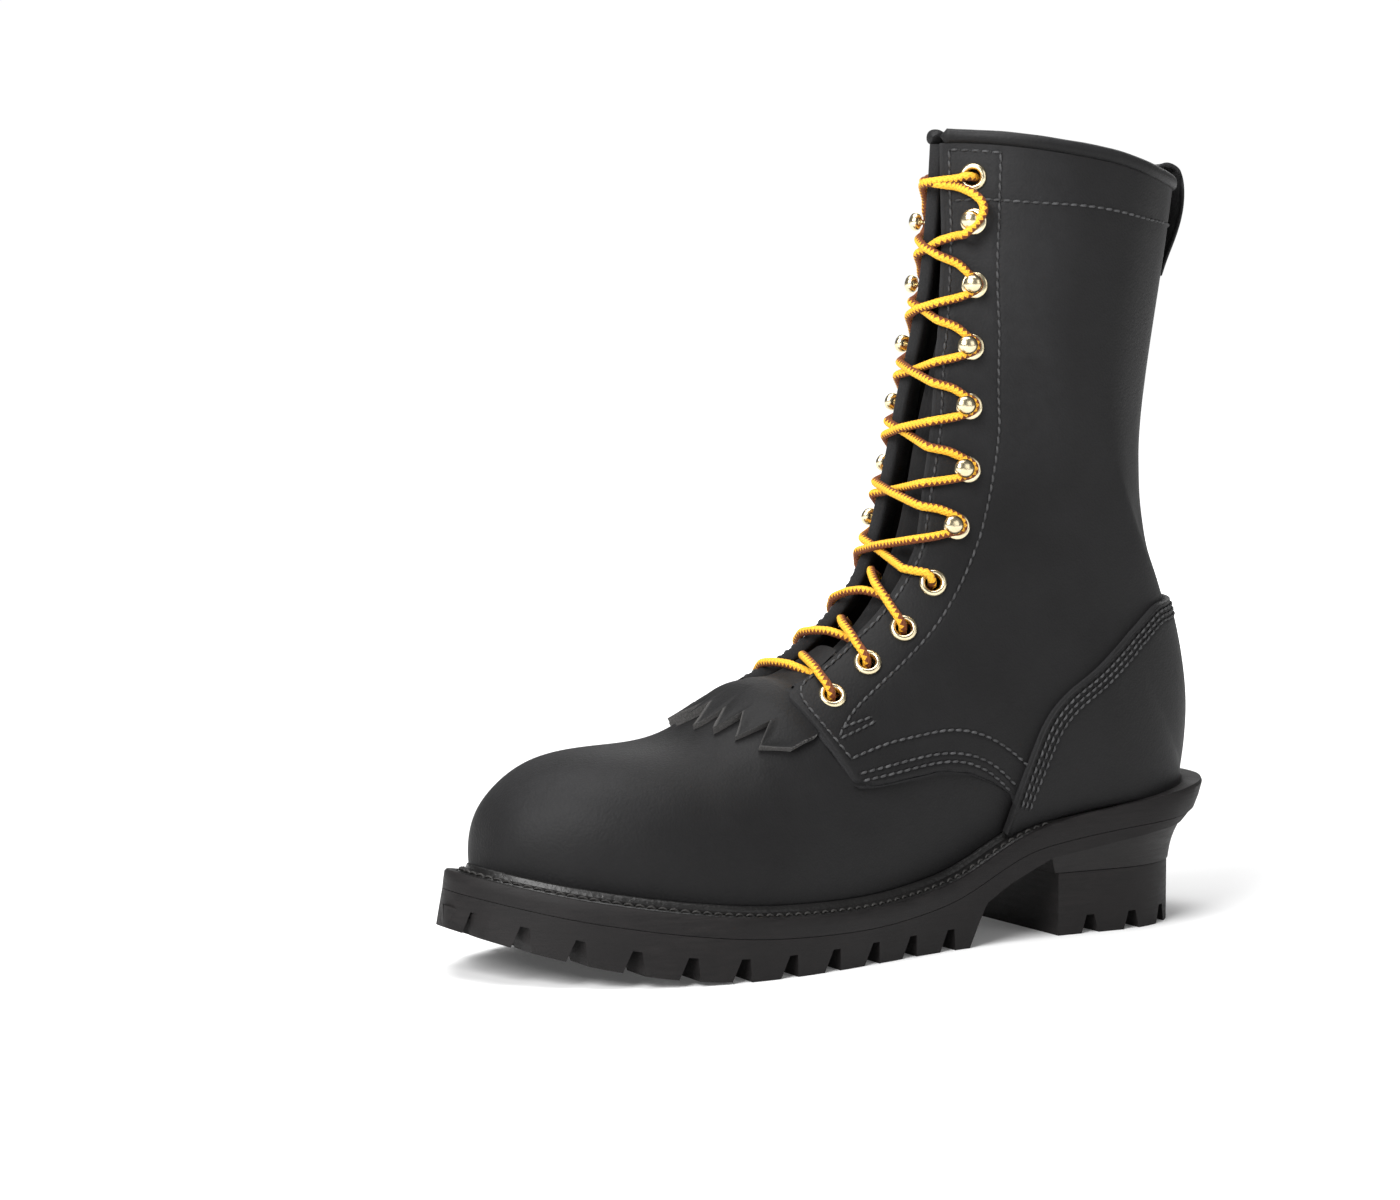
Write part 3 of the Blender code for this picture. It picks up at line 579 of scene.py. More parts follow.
    def normal(self, s: Array, k: Array, side: Side) -> Array:
        """Outward directions, shared by both halves on ridge and back seam.

        Args:
            s: Sections.
            k: Shares from ridge to edge.
            side: Side of the boot.

        Returns:
            Directions of length one.
        """
        s, k = spread(s, k)
        out = self.one_normal(s, k, side)
        both = unit(out + self.one_normal(s, k, side.other))
        seam = (k < 1e-6) | ((k > 1 - 1e-6) & (s > HEEL_SECTION - 1e-6))
        out = np.where(seam[..., None], both, out)
        return np.where((s < 1e-6)[..., None], (1.0, 0.0, 0.0), out)

    def skin(self, s: Array, k: Array, side: Side, lift: Array | float) -> Array:
        """Points lifted off the skin; the lasted edge stays level on the sole.

        Args:
            s: Sections.
            k: Shares from ridge to edge.
            side: Side of the boot.
            lift: Distance off the skin.

        Returns:
            Points.
        """
        s, k, lift = spread(s, k, lift)
        place = self.surface(s, k, side)
        point = place + self.normal(s, k, side) * lift[..., None]
        lasted = (k > 1 - 1e-6) & (s < HEEL_SECTION + 1e-6)
        level = np.maximum(point[..., 2], np.where(s < HEEL_SECTION + 1e-6, self.rise(point[..., 0]), 0.0))
        point[..., 2] = np.where(lasted, place[..., 2], level)
        return point

    def k_at(self, s: Array, half: Array, rear: bool = False) -> Array:
        """Share k where the skin stands a half width from its middle.

        Args:
            s: Sections.
            half: Half widths.
            rear: Whether the place is behind the widest one.

        Returns:
            Shares k.
        """
        _, _, width, bend, sweep = self.section(np.asarray(s, float))
        angle = np.arcsin(np.clip(half / width, 0, 1) ** (1 / bend))
        return (np.pi - angle if rear else angle) / sweep

    def throat_k(self, s: Array, inside: float | Array = 0.0) -> Array:
        """Share k of the throat's edge, or of a line inside it."""
        return self.k_at(s, straight(THROAT, "gap", s) + inside)

    def row_k(self, s: Array) -> Array:
        """Share k of the row of eyelets and hooks."""
        return self.k_at(s, straight(THROAT, "row", s))

    def counter_k(self, s: Array) -> Array:
        """Share k where sections pass under the counter's edge, drawn in side view.

        Args:
            s: Sections.

        Returns:
            Shares k.
        """
        k = np.linspace(0.3, 0.985, 900)
        x, _, z = np.moveaxis(self.surface(s[:, None], k, Side.OUTER), -1, 0)
        above = np.where(x < COUNTER_EDGE["x"][-1], z - self.counter_line.at("height", x), 1.0)
        inside = above < 0
        first = np.maximum(inside.argmax(-1), 1)
        high, low = (above[np.arange(len(s)), first - i] for i in (1, 0))
        crossing = k[first - 1] + (k[1] - k[0]) * np.clip(high / np.maximum(high - low, 1e-9), 0, 1)
        return np.where(inside.any(-1), crossing, k[-1])

    def line(self, marks: Array, side: Side, lift: float | Heights, step: float = 0.0008) -> Line:
        """Smooth line on the leather through marks.

        Args:
            marks: Rows of section and share k.
            side: Side of the boot.
            lift: Distance off the skin, or a function that gives it.
            step: Distance between points.

        Returns:
            Evenly spaced points with their directions.
        """
        marks = np.asarray(marks, float)
        coarse = self.surface(marks[:, 0], marks[:, 1], side)
        far = lengths(coarse)
        curve = Curve(dict(far=far, s=marks[:, 0], k=marks[:, 1]), "far")
        fine = np.linspace(0, far[-1], max(12, int(far[-1] / 0.0006)))
        s = np.clip(curve.at("s", fine), 0.02, TOP)
        k = np.clip(curve.at("k", fine), 0, 1)
        place = self.skin(s, k, side, lift(s, k) if callable(lift) else lift)
        run = lengths(place)
        even = np.linspace(0, run[-1], max(4, int(round(run[-1] / step)) + 1))
        points = follow(even, run, place)
        out = unit(follow(even, run, self.normal(s, k, side)))
        return Line(points, out, unit(np.gradient(points, axis=0)))

    def beside(self, marks: Array, side: Side, distance: float) -> Array:
        """Marks moved across the skin, to one side of the line through them.

        Args:
            marks: Rows of section and share k, close together.
            side: Side of the boot.
            distance: Distance moved.

        Returns:
            Rows of section and share k.
        """
        s, k = np.asarray(marks, float).T
        step = 1e-3
        place = self.surface(s, k, side)
        by_s = (self.surface(s + step, k, side) - self.surface(s - step, k, side)) / (2 * step)
        by_k = (self.surface(s, k + step, side) - self.surface(s, k - step, side)) / (2 * step)
        way = unit(np.gradient(place, axis=0))
        move = side.value * distance * np.cross(self.one_normal(s, np.clip(k, 0.01, 0.99), side), way)
        ss, sk, kk = ((a * b).sum(-1) for a, b in ((by_s, by_s), (by_s, by_k), (by_k, by_k)))
        ms, mk = (move * by_s).sum(-1), (move * by_k).sum(-1)
        det = np.maximum(ss * kk - sk ** 2, 1e-16)
        return np.stack([s + (ms * kk - mk * sk) / det, k + (mk * ss - ms * sk) / det], -1)


SECTIONS["ridge_z"][0] = Last().rise(Last().half - Last().feather_toe)
LAST = Last()
TONGUE_LAST = Last(falls=False)


class Tree:
    """Places and joins shader nodes in one node tree."""

    def __init__(self, tree: bpy.types.NodeTree) -> None:
        """Keep the tree that is filled."""
        self.tree = tree

    def feed(self, socket: Socket, value: object) -> None:
        """Link a socket into an input, or set the input's value."""
        if isinstance(value, Socket):
            self.tree.links.new(value, socket)
        else:
            socket.default_value = value

    def fill(self, node: bpy.types.Node, inputs: dict[str, object]) -> None:
        """Feed sockets or values into a node's inputs by name."""
        for name, value in inputs.items():
            self.feed(node.inputs[name], value)

    def node(self, kind: str, inputs: dict[str, object] | None = None, **settings: object) -> bpy.types.Node:
        """Add a node.

        Args:
            kind: Blender's name of the node type.
            inputs: Values or sockets by input name.
            settings: Properties of the node.

        Returns:
            The new node.
        """
        made = self.tree.nodes.new(kind)
        for name, value in settings.items():
            setattr(made, name, value)
        self.fill(made, inputs or {})
        return made

    def maths(self, operation: str, *values: object) -> Socket:
        """Result of a sum on values or sockets."""
        made = self.node("ShaderNodeMath", operation=operation)
        for socket, value in zip(made.inputs, values):
            self.feed(socket, value)
        return made.outputs[0]

    def blend(self, mask: object, low: object, high: object) -> Socket:
        """Colour between low and high by a mask.

        Args:
            mask: Share of the high colour.
            low: Colour at 0.
            high: Colour at 1.

        Returns:
            The mixed colour.
        """
        made = self.node("ShaderNodeMix", data_type="RGBA")
        for socket, value in zip((made.inputs[0], made.inputs[6], made.inputs[7]), (mask, low, high)):
            self.feed(socket, (*value, 1.0) if isinstance(value, tuple) else value)
        return made.outputs[2]

    def ramp(self, value: object, low: float, high: float) -> Socket:
        """Value stretched so that low gives 0 and high gives 1."""
        return self.node("ShaderNodeMapRange", {"Value": value, "From Min": low, "From Max": high}).outputs[0]

    def noise(self, vector: object, scale: object, detail: float = 3.0, rough: float = 0.55) -> Socket:
        """Cloudy noise from 0 to 1, at a scale per metre."""
        inputs = {"Vector": vector, "Scale": scale, "Detail": detail, "Roughness": rough}
        return self.node("ShaderNodeTexNoise", inputs).outputs[0]

    def bump(self, height: object, strength: float, distance: float) -> Socket:
        """Directions of a surface with a height on it, as deep as the distance."""
        inputs = {"Height": height, "Strength": strength, "Distance": distance}
        return self.node("ShaderNodeBump", inputs).outputs[0]

    def place(self) -> Socket:
        """Coordinates of the boot in metres."""
        return self.node("ShaderNodeTexCoord").outputs["Object"]

    def painted(self, name: str) -> Socket:
        """Value painted on the mesh's points."""
        return self.node("ShaderNodeAttribute", attribute_name=name).outputs["Fac"]


class Effect:
    """Shader effects that several finishes share, each a node group built once."""

    @staticmethod
    def use(kit: Tree, wire: Callable[[Tree, Sockets], Sockets], **values: object) -> Sockets:
        """Place an effect in a material; the first call builds its group.

        Args:
            kit: Material's nodes.
            wire: Effect, which turns inputs into outputs.
            values: Inputs by name, the same names at each call.

        Returns:
            Outputs by name.
        """
        tree = bpy.data.node_groups.get(wire.__name__)
        if tree is None:
            tree = bpy.data.node_groups.new(wire.__name__, "ShaderNodeTree")
            for label in values:
                tree.interface.new_socket(label, in_out="INPUT", socket_type="NodeSocketFloat")
            inside = Tree(tree)
            results = wire(inside, dict(inside.node("NodeGroupInput").outputs.items()))
            for label in results:
                tree.interface.new_socket(label, in_out="OUTPUT", socket_type="NodeSocketFloat")
            inside.node("NodeGroupOutput", results)
        return dict(kit.node("ShaderNodeGroup", values, node_tree=tree).outputs.items())

    @staticmethod
    def leather_grain(kit: Tree, inputs: Sockets) -> Sockets:
        """Pores and fine wrinkles of leather.

        Args:
            kit: Nodes of the group.
            inputs: Scale.

        Returns:
            Height.
        """
        place, scale = kit.place(), inputs["Scale"]
        cells = kit.node("ShaderNodeTexVoronoi", {"Vector": place, "Scale": scale}).outputs["Distance"]
        wrinkle = kit.noise(place, kit.maths("MULTIPLY", scale, 0.4), 4.0, 0.6)
        pores = kit.ramp(kit.noise(place, kit.maths("MULTIPLY", scale, 1.9), 1.0), 0.30, 0.42)
        mixed = kit.maths("ADD", kit.maths("MULTIPLY", cells, 0.45), kit.maths("MULTIPLY", wrinkle, 0.55))
        return {"Height": kit.maths("MULTIPLY", mixed, kit.maths("MULTIPLY_ADD", pores, 0.25, 0.75))}

    @staticmethod
    def mottle(kit: Tree, inputs: Sockets) -> Sockets:
        """Broad cloudy change of tone, as a mask at a scale."""
        return {"Mask": kit.ramp(kit.noise(kit.place(), inputs["Scale"], 5.0, 0.6), 0.32, 0.68)}

    @staticmethod
    def scuff(kit: Tree, inputs: Sockets) -> Sockets:
        """Rubbed marks, as a mask broken up by noise where the wear is."""
        broken = kit.ramp(kit.noise(kit.place(), inputs["Scale"], 6.0, 0.7), 0.30, 0.75)
        return {"Mask": kit.maths("MULTIPLY", inputs["Wear"], kit.maths("MULTIPLY_ADD", broken, 0.6, 0.4))}

    @staticmethod
    def fuzz(kit: Tree, inputs: Sockets) -> Sockets:
        """Loose fibres of a raw edge or thread, as a height and a speckle mask."""
        fibre = kit.noise(kit.place(), inputs["Scale"], 4.0, 0.75)
        return {"Height": fibre, "Mask": kit.ramp(fibre, 0.42, 0.70)}

    @staticmethod
    def sanded(kit: Tree, inputs: Sockets) -> Sockets:
        """Level marks of a sanded sole edge, with a fine tooth.

        Args:
            kit: Nodes of the group.
            inputs: Scale.

        Returns:
            Height, and a mask of the marks.
        """
        place, scale = kit.place(), inputs["Scale"]
        along = kit.node("ShaderNodeMapping", {"Vector": place, "Scale": (0.10, 0.10, 1.0)}).outputs[0]
        lines = kit.noise(along, scale, 4.0, 0.65)
        tooth = kit.noise(place, kit.maths("MULTIPLY", scale, 2.2), 3.0, 0.7)
        height = kit.maths("ADD", kit.maths("MULTIPLY", lines, 0.55), kit.maths("MULTIPLY", tooth, 0.45))
        return {"Height": height, "Mask": kit.ramp(lines, 0.36, 0.66)}

    @staticmethod
    def braid(kit: Tree, inputs: Sockets) -> Sockets:
        """Plaited round lace: slanting strands on both hands, and a flank cut by their steps.

        Args:
            kit: Nodes of the group.
            inputs: Places along and around the lace, and the plait's pitch.

        Returns:
            Mask of the brown flank, and the plait's height.
        """
        turns = kit.maths("MULTIPLY", inputs["Along"], kit.maths("DIVIDE", 1.0, inputs["Pitch"]))
        wind = kit.maths("MULTIPLY", inputs["Around"], 6.0)
        right = kit.maths("PINGPONG", kit.maths("ADD", turns, wind), 0.5)
        left = kit.maths("PINGPONG", kit.maths("SUBTRACT", turns, wind), 0.5)
        saw = kit.maths("MULTIPLY", kit.maths("SUBTRACT", kit.maths("PINGPONG", turns, 0.5), 0.25), 0.30)
        cut = kit.maths("ADD", kit.maths("PINGPONG", inputs["Around"], 0.5), saw)
        relief = kit.maths("MULTIPLY", kit.maths("MAXIMUM", right, left), 2.0)
        return {"Flank": kit.ramp(cut, 0.335, 0.355), "Height": relief}


class Finish:
    """Finish of one or more pieces, made into a material once."""

    name: str

    def wire(self, kit: Tree) -> dict[str, object]:
        """Fill the material's nodes and give the shader's inputs; each finish has its own."""
        raise NotImplementedError

    def material(self) -> bpy.types.Material:
        """The finish's material.

        Returns:
            The material, the same one at each call.
        """
        made = bpy.data.materials.get(self.name)
        if made is None:
            made = bpy.data.materials.new(self.name)
            made.use_nodes = True
            kit = Tree(made.node_tree)
            kit.fill(made.node_tree.nodes["Principled BSDF"], self.wire(kit))
        return made


@dataclass(frozen=True)
class LeatherFinish(Finish):
    """Oiled leather with pores, cloudy tone, rubbed places and raw edges."""

    name: str
    deep: Colour
    lifted: Colour
    worn: Colour = (0.030, 0.030, 0.032)
    raw: Colour = (0.026, 0.026, 0.027)
    roughness: float = 0.54
    grain: float = 1000.0
    depth: float = 0.00030
    specular: float = 0.19
    sheen: float = 0.02

    def wire(self, kit: Tree) -> dict[str, object]:
        """Tone from mottle, scuff and raw edges; bump from grain and fibres.

        Args:
            kit: Material's nodes.

        Returns:
            Inputs of the shader.
        """
        cloud = Effect.use(kit, Effect.mottle, Scale=26.0)["Mask"]
        scuff = Effect.use(kit, Effect.scuff, Wear=kit.painted("wear"), Scale=170.0)["Mask"]
        grain = Effect.use(kit, Effect.leather_grain, Scale=self.grain)["Height"]
        fuzz = Effect.use(kit, Effect.fuzz, Scale=1700.0)
        edge = kit.painted("edge")
        tone = kit.blend(scuff, kit.blend(cloud, self.deep, self.lifted), self.worn)
        fibres = kit.maths("MULTIPLY_ADD", fuzz["Mask"], 0.5, 0.5)
        rough = kit.maths("MULTIPLY_ADD", cloud, 0.05, self.roughness - 0.02)
        rough = kit.maths("MULTIPLY_ADD", grain, 0.08, rough)
        raised = kit.maths("MULTIPLY", kit.maths("MULTIPLY", edge, fuzz["Height"]), 2.5)
        return {
            "Base Color": kit.blend(kit.maths("MULTIPLY", edge, fibres), tone, self.raw),
            "Roughness": kit.maths("MULTIPLY_ADD", edge, 0.3, rough),
            "Normal": kit.bump(kit.maths("ADD", grain, raised), 0.55, self.depth),
            "Specular IOR Level": self.specular,
            "Sheen Weight": self.sheen,
            "Sheen Roughness": 0.5,
        }


@dataclass(frozen=True)
class ThreadFinish(Finish):
    """Waxed thread, a little lighter than the leather, with painted shade on its needle holes."""

    name: str
    dark: Colour
    light: Colour
    # Near-black hole colour: painted shade of the needle holes.
    hole: Colour = (0.001, 0.001, 0.001)
    roughness: float = 0.6

    def wire(self, kit: Tree) -> dict[str, object]:
        """Tone by mottle, with painted shade on the needle holes; bump from fine fibres.

        Args:
            kit: Material's nodes.

        Returns:
            Inputs of the shader.
        """
        cloud = Effect.use(kit, Effect.mottle, Scale=220.0)["Mask"]
        fuzz = Effect.use(kit, Effect.fuzz, Scale=3200.0)
        return {
            # The painted edge value marks the needle-hole discs, which take the hole colour as painted shade.
            "Base Color": kit.blend(kit.painted("edge"), kit.blend(cloud, self.dark, self.light), self.hole),
            "Roughness": kit.maths("MULTIPLY_ADD", fuzz["Mask"], 0.2, self.roughness),
            "Normal": kit.bump(fuzz["Height"], 0.6, 0.0003),
        }


@dataclass(frozen=True)
class RubberFinish(Finish):
    """Moulded and sanded sole rubber."""

    name: str
    deep: Colour
    dusty: Colour
    roughness: float = 0.62
    depth: float = 0.00035

    def wire(self, kit: Tree) -> dict[str, object]:
        """Tone from sanding marks, clouds and rubbed edges; bump from sanding.

        Args:
            kit: Material's nodes.

        Returns:
            Inputs of the shader.
        """
        sanded = Effect.use(kit, Effect.sanded, Scale=800.0)
        cloud = Effect.use(kit, Effect.mottle, Scale=40.0)["Mask"]
        scuff = Effect.use(kit, Effect.scuff, Wear=kit.painted("wear"), Scale=240.0)["Mask"]
        dust = kit.maths("MULTIPLY", kit.maths("MULTIPLY_ADD", cloud, 0.6, 0.2), sanded["Mask"])
        return {
            "Base Color": kit.blend(scuff, kit.blend(dust, self.deep, self.dusty), self.dusty),
            "Roughness": kit.maths("MULTIPLY_ADD", sanded["Mask"], 0.12, self.roughness - 0.05),
            "Normal": kit.bump(sanded["Height"], 0.5, self.depth),
            "Specular IOR Level": 0.24,
        }


@dataclass(frozen=True)
class BrassFinish(Finish):
    """Pale plated brass, bright with fine handling marks."""

    name: str
    bright: Colour
    dull: Colour
    roughness: float = 0.16

    def wire(self, kit: Tree) -> dict[str, object]:
        """Tone and gloss from clouds; faint dents.

        Args:
            kit: Material's nodes.

        Returns:
            Inputs of the shader.
        """
        cloud = Effect.use(kit, Effect.mottle, Scale=260.0)["Mask"]
        scuff = Effect.use(kit, Effect.scuff, Wear=0.6, Scale=700.0)["Mask"]
        return {
            "Base Color": kit.blend(cloud, self.bright, self.dull),
            "Roughness": kit.maths("MULTIPLY_ADD", scuff, 0.22, self.roughness),
            "Normal": kit.bump(cloud, 0.15, 0.0001),
            "Metallic": 1.0,
        }


@dataclass(frozen=True)
class LaceFinish(Finish):
    """Plaited round lace in two colours, with painted shade in the plait's grooves."""

    name: str
    yellow: Colour
    shade: Colour
    brown: Colour
    roughness: float = 0.75

    def wire(self, kit: Tree) -> dict[str, object]:
        """Colour by the plait's flank, with painted shade in its grooves; bump from the plait.

        Args:
            kit: Material's nodes.

        Returns:
            Inputs of the shader.
        """
        along, around = kit.painted("along"), kit.painted("around")
        plait = Effect.use(kit, Effect.braid, Along=along, Around=around, Pitch=PLAIT_PITCH)
        fuzz = Effect.use(kit, Effect.fuzz, Scale=2600.0)
        # The plait's grooves take painted shade: yellow falls to the shade colour, brown to a darker brown.
        tone = kit.blend(kit.maths("MULTIPLY", plait["Height"], plait["Height"]), self.shade, self.yellow)
        dark = kit.blend(plait["Height"], tuple(0.55 * c for c in self.brown), self.brown)
        return {
            "Base Color": kit.blend(plait["Flank"], tone, dark),
            "Roughness": kit.maths("MULTIPLY_ADD", fuzz["Mask"], 0.15, self.roughness),
            "Normal": kit.bump(kit.maths("MULTIPLY_ADD", fuzz["Height"], 0.3, plait["Height"]), 0.7, 0.0004),
        }


@dataclass(frozen=True)
class FloorFinish(Finish):
    """Pale matte studio floor that glows out into white, its emission painted light."""

    name: str
    pale: Colour
    roughness: float = 0.85

    def wire(self, kit: Tree) -> dict[str, object]:
        """One pale tone with the faintest cloud, and a painted emission glow: faint by the boot, where it
        lightens the boot's shadow, white far from it.

        Args:
            kit: Material's nodes.

        Returns:
            Inputs of the shader.
        """
        cloud = Effect.use(kit, Effect.mottle, Scale=1.5)["Mask"]
        return {
            "Base Color": kit.blend(cloud, tuple(0.985 * c for c in self.pale), self.pale),
            # Painted light: the floor glows, faintly by the boot and white far away.
            "Emission Color": kit.blend(kit.painted("far"), (0.0, 0.0, 0.0), (1.0, 1.0, 1.0)),
            "Emission Strength": 1.0,
            "Roughness": self.roughness,
            "Specular IOR Level": 0.2,
        }


UPPER_LEATHER = LeatherFinish("upper_leather", (0.0048, 0.0046, 0.0049), (0.0080, 0.0078, 0.0082))
TRIM_LEATHER = LeatherFinish(
    "trim_leather", (0.0046, 0.0045, 0.0047), (0.0076, 0.0074, 0.0078), roughness=0.50)
FRINGE_LEATHER = LeatherFinish(
    "fringe_leather", (0.0048, 0.0047, 0.0049), (0.0078, 0.0076, 0.0080), raw=(0.120, 0.116, 0.113))
TONGUE_LEATHER = LeatherFinish(
    "tongue_leather", (0.0032, 0.0031, 0.0033), (0.0055, 0.0054, 0.0056), raw=(0.020, 0.020, 0.021),
    roughness=0.72, grain=700.0, specular=0.18)
LINING_LEATHER = LeatherFinish(
    "lining_leather", (0.0120, 0.0108, 0.0100), (0.0185, 0.0168, 0.0155), roughness=0.78, grain=1500.0)
WELT_LEATHER = LeatherFinish(
    "waxed_welt", (0.0045, 0.0043, 0.0043), (0.0085, 0.0080, 0.0078), roughness=0.34, grain=520.0,
    depth=0.0005, specular=0.40, sheen=0.0)
INSOLE_BOARD = LeatherFinish(
    "footbed_board", (0.21, 0.135, 0.075), (0.29, 0.195, 0.115), worn=(0.30, 0.22, 0.14), roughness=0.7,
    grain=420.0)
SEAM_THREAD = ThreadFinish("seam_thread", (0.020, 0.020, 0.021), (0.056, 0.056, 0.058))
WELT_THREAD = ThreadFinish("welt_thread", (0.010, 0.009, 0.009), (0.032, 0.030, 0.028))
SOLE_RUBBER = RubberFinish("tread_rubber", (0.0046, 0.0039, 0.0040), (0.0150, 0.0130, 0.0130))
HEEL_RUBBER = RubberFinish("heel_rubber", (0.0064, 0.0056, 0.0056), (0.0180, 0.0160, 0.0158), roughness=0.55)
BRASS = BrassFinish("pale_brass", (0.84, 0.74, 0.51), (0.68, 0.57, 0.36))
LACE = LaceFinish("two_tone_lace", (0.97, 0.53, 0.030), (0.72, 0.34, 0.016), (0.19, 0.045, 0.007))
FLOOR = FloorFinish("pale_floor", (0.85, 0.85, 0.85))


@dataclass
class Sheets:
    """Points, faces and painted values gathered for one mesh."""

    points: list[Array] = field(default_factory=list)
    faces: list[tuple[int, ...]] = field(default_factory=list)
    painted: dict[str, list[Array]] = field(default_factory=dict)

    def add(self, points: Array, faces: list[tuple[int, ...]], **painted: Array | float) -> None:
        """Add points with faces that count from the first of them.

        Args:
            points: Points, in any shape that ends in three.
            faces: Faces as point numbers.
            painted: Values per point, such as shares of raw edge and of wear; on stitches, edge marks
                needle-hole discs of painted shade.
        """
        first = sum(len(part) for part in self.points)
        self.points.append(points.reshape(-1, 3))
        self.faces.extend(tuple(v + first for v in face) for face in faces)
        for name, value in {"edge": 0.0, "wear": 0.0, **painted}.items():
            values = np.broadcast_to(np.asarray(value, float), points.shape[:-1])
            self.painted.setdefault(name, []).append(values.reshape(-1))

    def grid(
            self, points: Array, loop: bool = False, skip: Array | None = None,
            **painted: Array | float) -> None:
        """Add rows of points as a sheet of quads.

        Args:
            points: Rows x columns x 3.
            loop: Whether the columns run round in a ring.
            skip: Quads to leave out.
            painted: Painted values.
        """
        rows, columns = points.shape[:2]
        faces = []
        for i in range(rows - 1):
            for j in range(columns if loop else columns - 1):
                if skip is None or not skip[i, j]:
                    here, after, right = i * columns, (i + 1) * columns, (j + 1) % columns
                    faces.append((here + j, here + right, after + right, after + j))
        self.add(points, faces, **painted)

    def build(
            self, name: str, finish: Finish, weld: float = 2e-6,
            sharp: float | None = None) -> bpy.types.Object:
        """Make the mesh object.

        Args:
            name: Name of the piece.
            finish: Its finish.
            weld: Distance under which points become one.
            sharp: Angle in degrees over which an edge stays sharp, or none for smooth all over.

        Returns:
            The object, linked to the scene.
        """
        mesh = bpy.data.meshes.new(name)
        mesh.from_pydata(np.concatenate(self.points).tolist(), [], self.faces)
        for label, parts in self.painted.items():
            mesh.attributes.new(label, "FLOAT", "POINT").data.foreach_set("value", np.concatenate(parts))
        shape = bmesh.new()
        shape.from_mesh(mesh)
        bmesh.ops.remove_doubles(shape, verts=shape.verts, dist=weld)
        bmesh.ops.recalc_face_normals(shape, faces=shape.faces)
        shape.to_mesh(mesh)
        shape.free()
        mesh.polygons.foreach_set("use_smooth", np.ones(len(mesh.polygons), bool))
        if sharp is not None:
            mesh.set_sharp_from_angle(angle=math.radians(sharp))
        mesh.materials.append(finish.material())
        made = bpy.data.objects.new(name, mesh)
        bpy.context.scene.collection.objects.link(made)
        return made


def settle(piece: bpy.types.Object, slot: str, *nodes: str) -> None:
    """Let a piece ride on the boot and stand for solids, which it hides.

    Args:
        piece: New piece.
        slot: Not used.
        nodes: Solids that it stands for.
    """
    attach(piece, "root")
    if nodes:
        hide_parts(*nodes)
    LOG.info("%s: %d faces", piece.name, len(piece.data.polygons))


def distance_to(points: Array, line: Array, reach: float) -> Array:
    """Distance of points to a line, where it is within reach.

    Args:
        points: Points, in any shape that ends in three.
        line: Points of the line.
        reach: Largest distance that is worked out.

    Returns:
        Distances, at most reach.
    """
    flat = points.reshape(-1, 3)
    near = np.flatnonzero(((flat > line.min(0) - reach) & (flat < line.max(0) + reach)).all(1))
    result = np.full(len(flat), reach)
    for part in np.array_split(near, max(1, len(near) * len(line) // 4_000_000 + 1)):
        gap = ((flat[part, None] - line[None]) ** 2).sum(-1).min(1)
        result[part] = np.minimum(np.sqrt(gap), reach)
    return result.reshape(points.shape[:-1])


def grooves(points: Array, lines: list[Line]) -> Array | float:
    """Depth pressed into leather under rows of stitches."""
    gaps = (distance_to(points, line.points, GROOVE_REACH) / GROOVE_WIDTH for line in lines)
    return sum(GROOVE_DEPTH * np.exp(-gap ** 2) for gap in gaps)


@dataclass(frozen=True)
class StitchKind:
    """Sizes of one kind of stitch."""

    pitch: float = 0.0036
    length: float = 0.0030
    width: float = 0.0010
    # Radius and lift of the dark discs that paint the needle holes' shade.
    hole: float = 0.00045
    hole_lift: float = 0.00012
    high: float = 0.00032
    sink: float = 0.00035
    slant: float = 0.10
    shares: tuple[float, ...] = (-1.0, -0.62, 0.0, 0.62, 1.0)
    around: int = 6

    def sew(self, sheets: Sheets, line: Line) -> None:
        """Add a row of stitches along a line, with dark discs of painted shade for the needle holes.

        Args:
            sheets: Mesh that takes the stitches.
            line: Line on the leather.
        """
        run = lengths(line.points)
        count = max(1, int(round(run[-1] / self.pitch)))
        middles = (np.arange(count) + 0.5) * run[-1] / count
        share = np.array(self.shares)

        def at(places: Array) -> tuple[Array, Array, Array]:
            """Points and directions of the line at distances along it."""
            point, out, along = (follow(places, run, rows) for rows in (line.points, line.out, line.along))
            return point, unit(out), unit(along)

        centre, out, along = at(middles[:, None] + share * self.length / 2)
        across = np.cross(out, along)
        bulge = 1 - share ** 2
        centre = centre + out * (self.high * bulge - self.sink * share ** 2)[:, None]
        centre = centre + across * (share * self.slant * self.length / 2)[:, None]
        turn = 2 * np.pi * np.arange(self.around) / self.around
        thick = self.width / 2 * np.interp(np.abs(share), (0.0, 0.62, 1.0), (1.0, 0.92, 0.35))
        ring = (np.cos(turn)[:, None] * across[:, :, None] + 0.75 * np.sin(turn)[:, None] * out[:, :, None])
        points = centre[:, :, None] + thick[:, None, None] * ring
        for stitch in points:
            sheets.grid(stitch, loop=True)
        # Dark discs between stitches: painted shade of the needle holes.
        centre, out, along = at(np.arange(count + 1)[:, None] * run[-1] / count)
        discs = np.cos(turn)[:, None] * along + 0.8 * np.sin(turn)[:, None] * np.cross(out, along)
        for disc in centre + self.hole_lift * out + self.hole * discs:
            sheets.add(disc, [tuple(range(self.around))], edge=1.0)


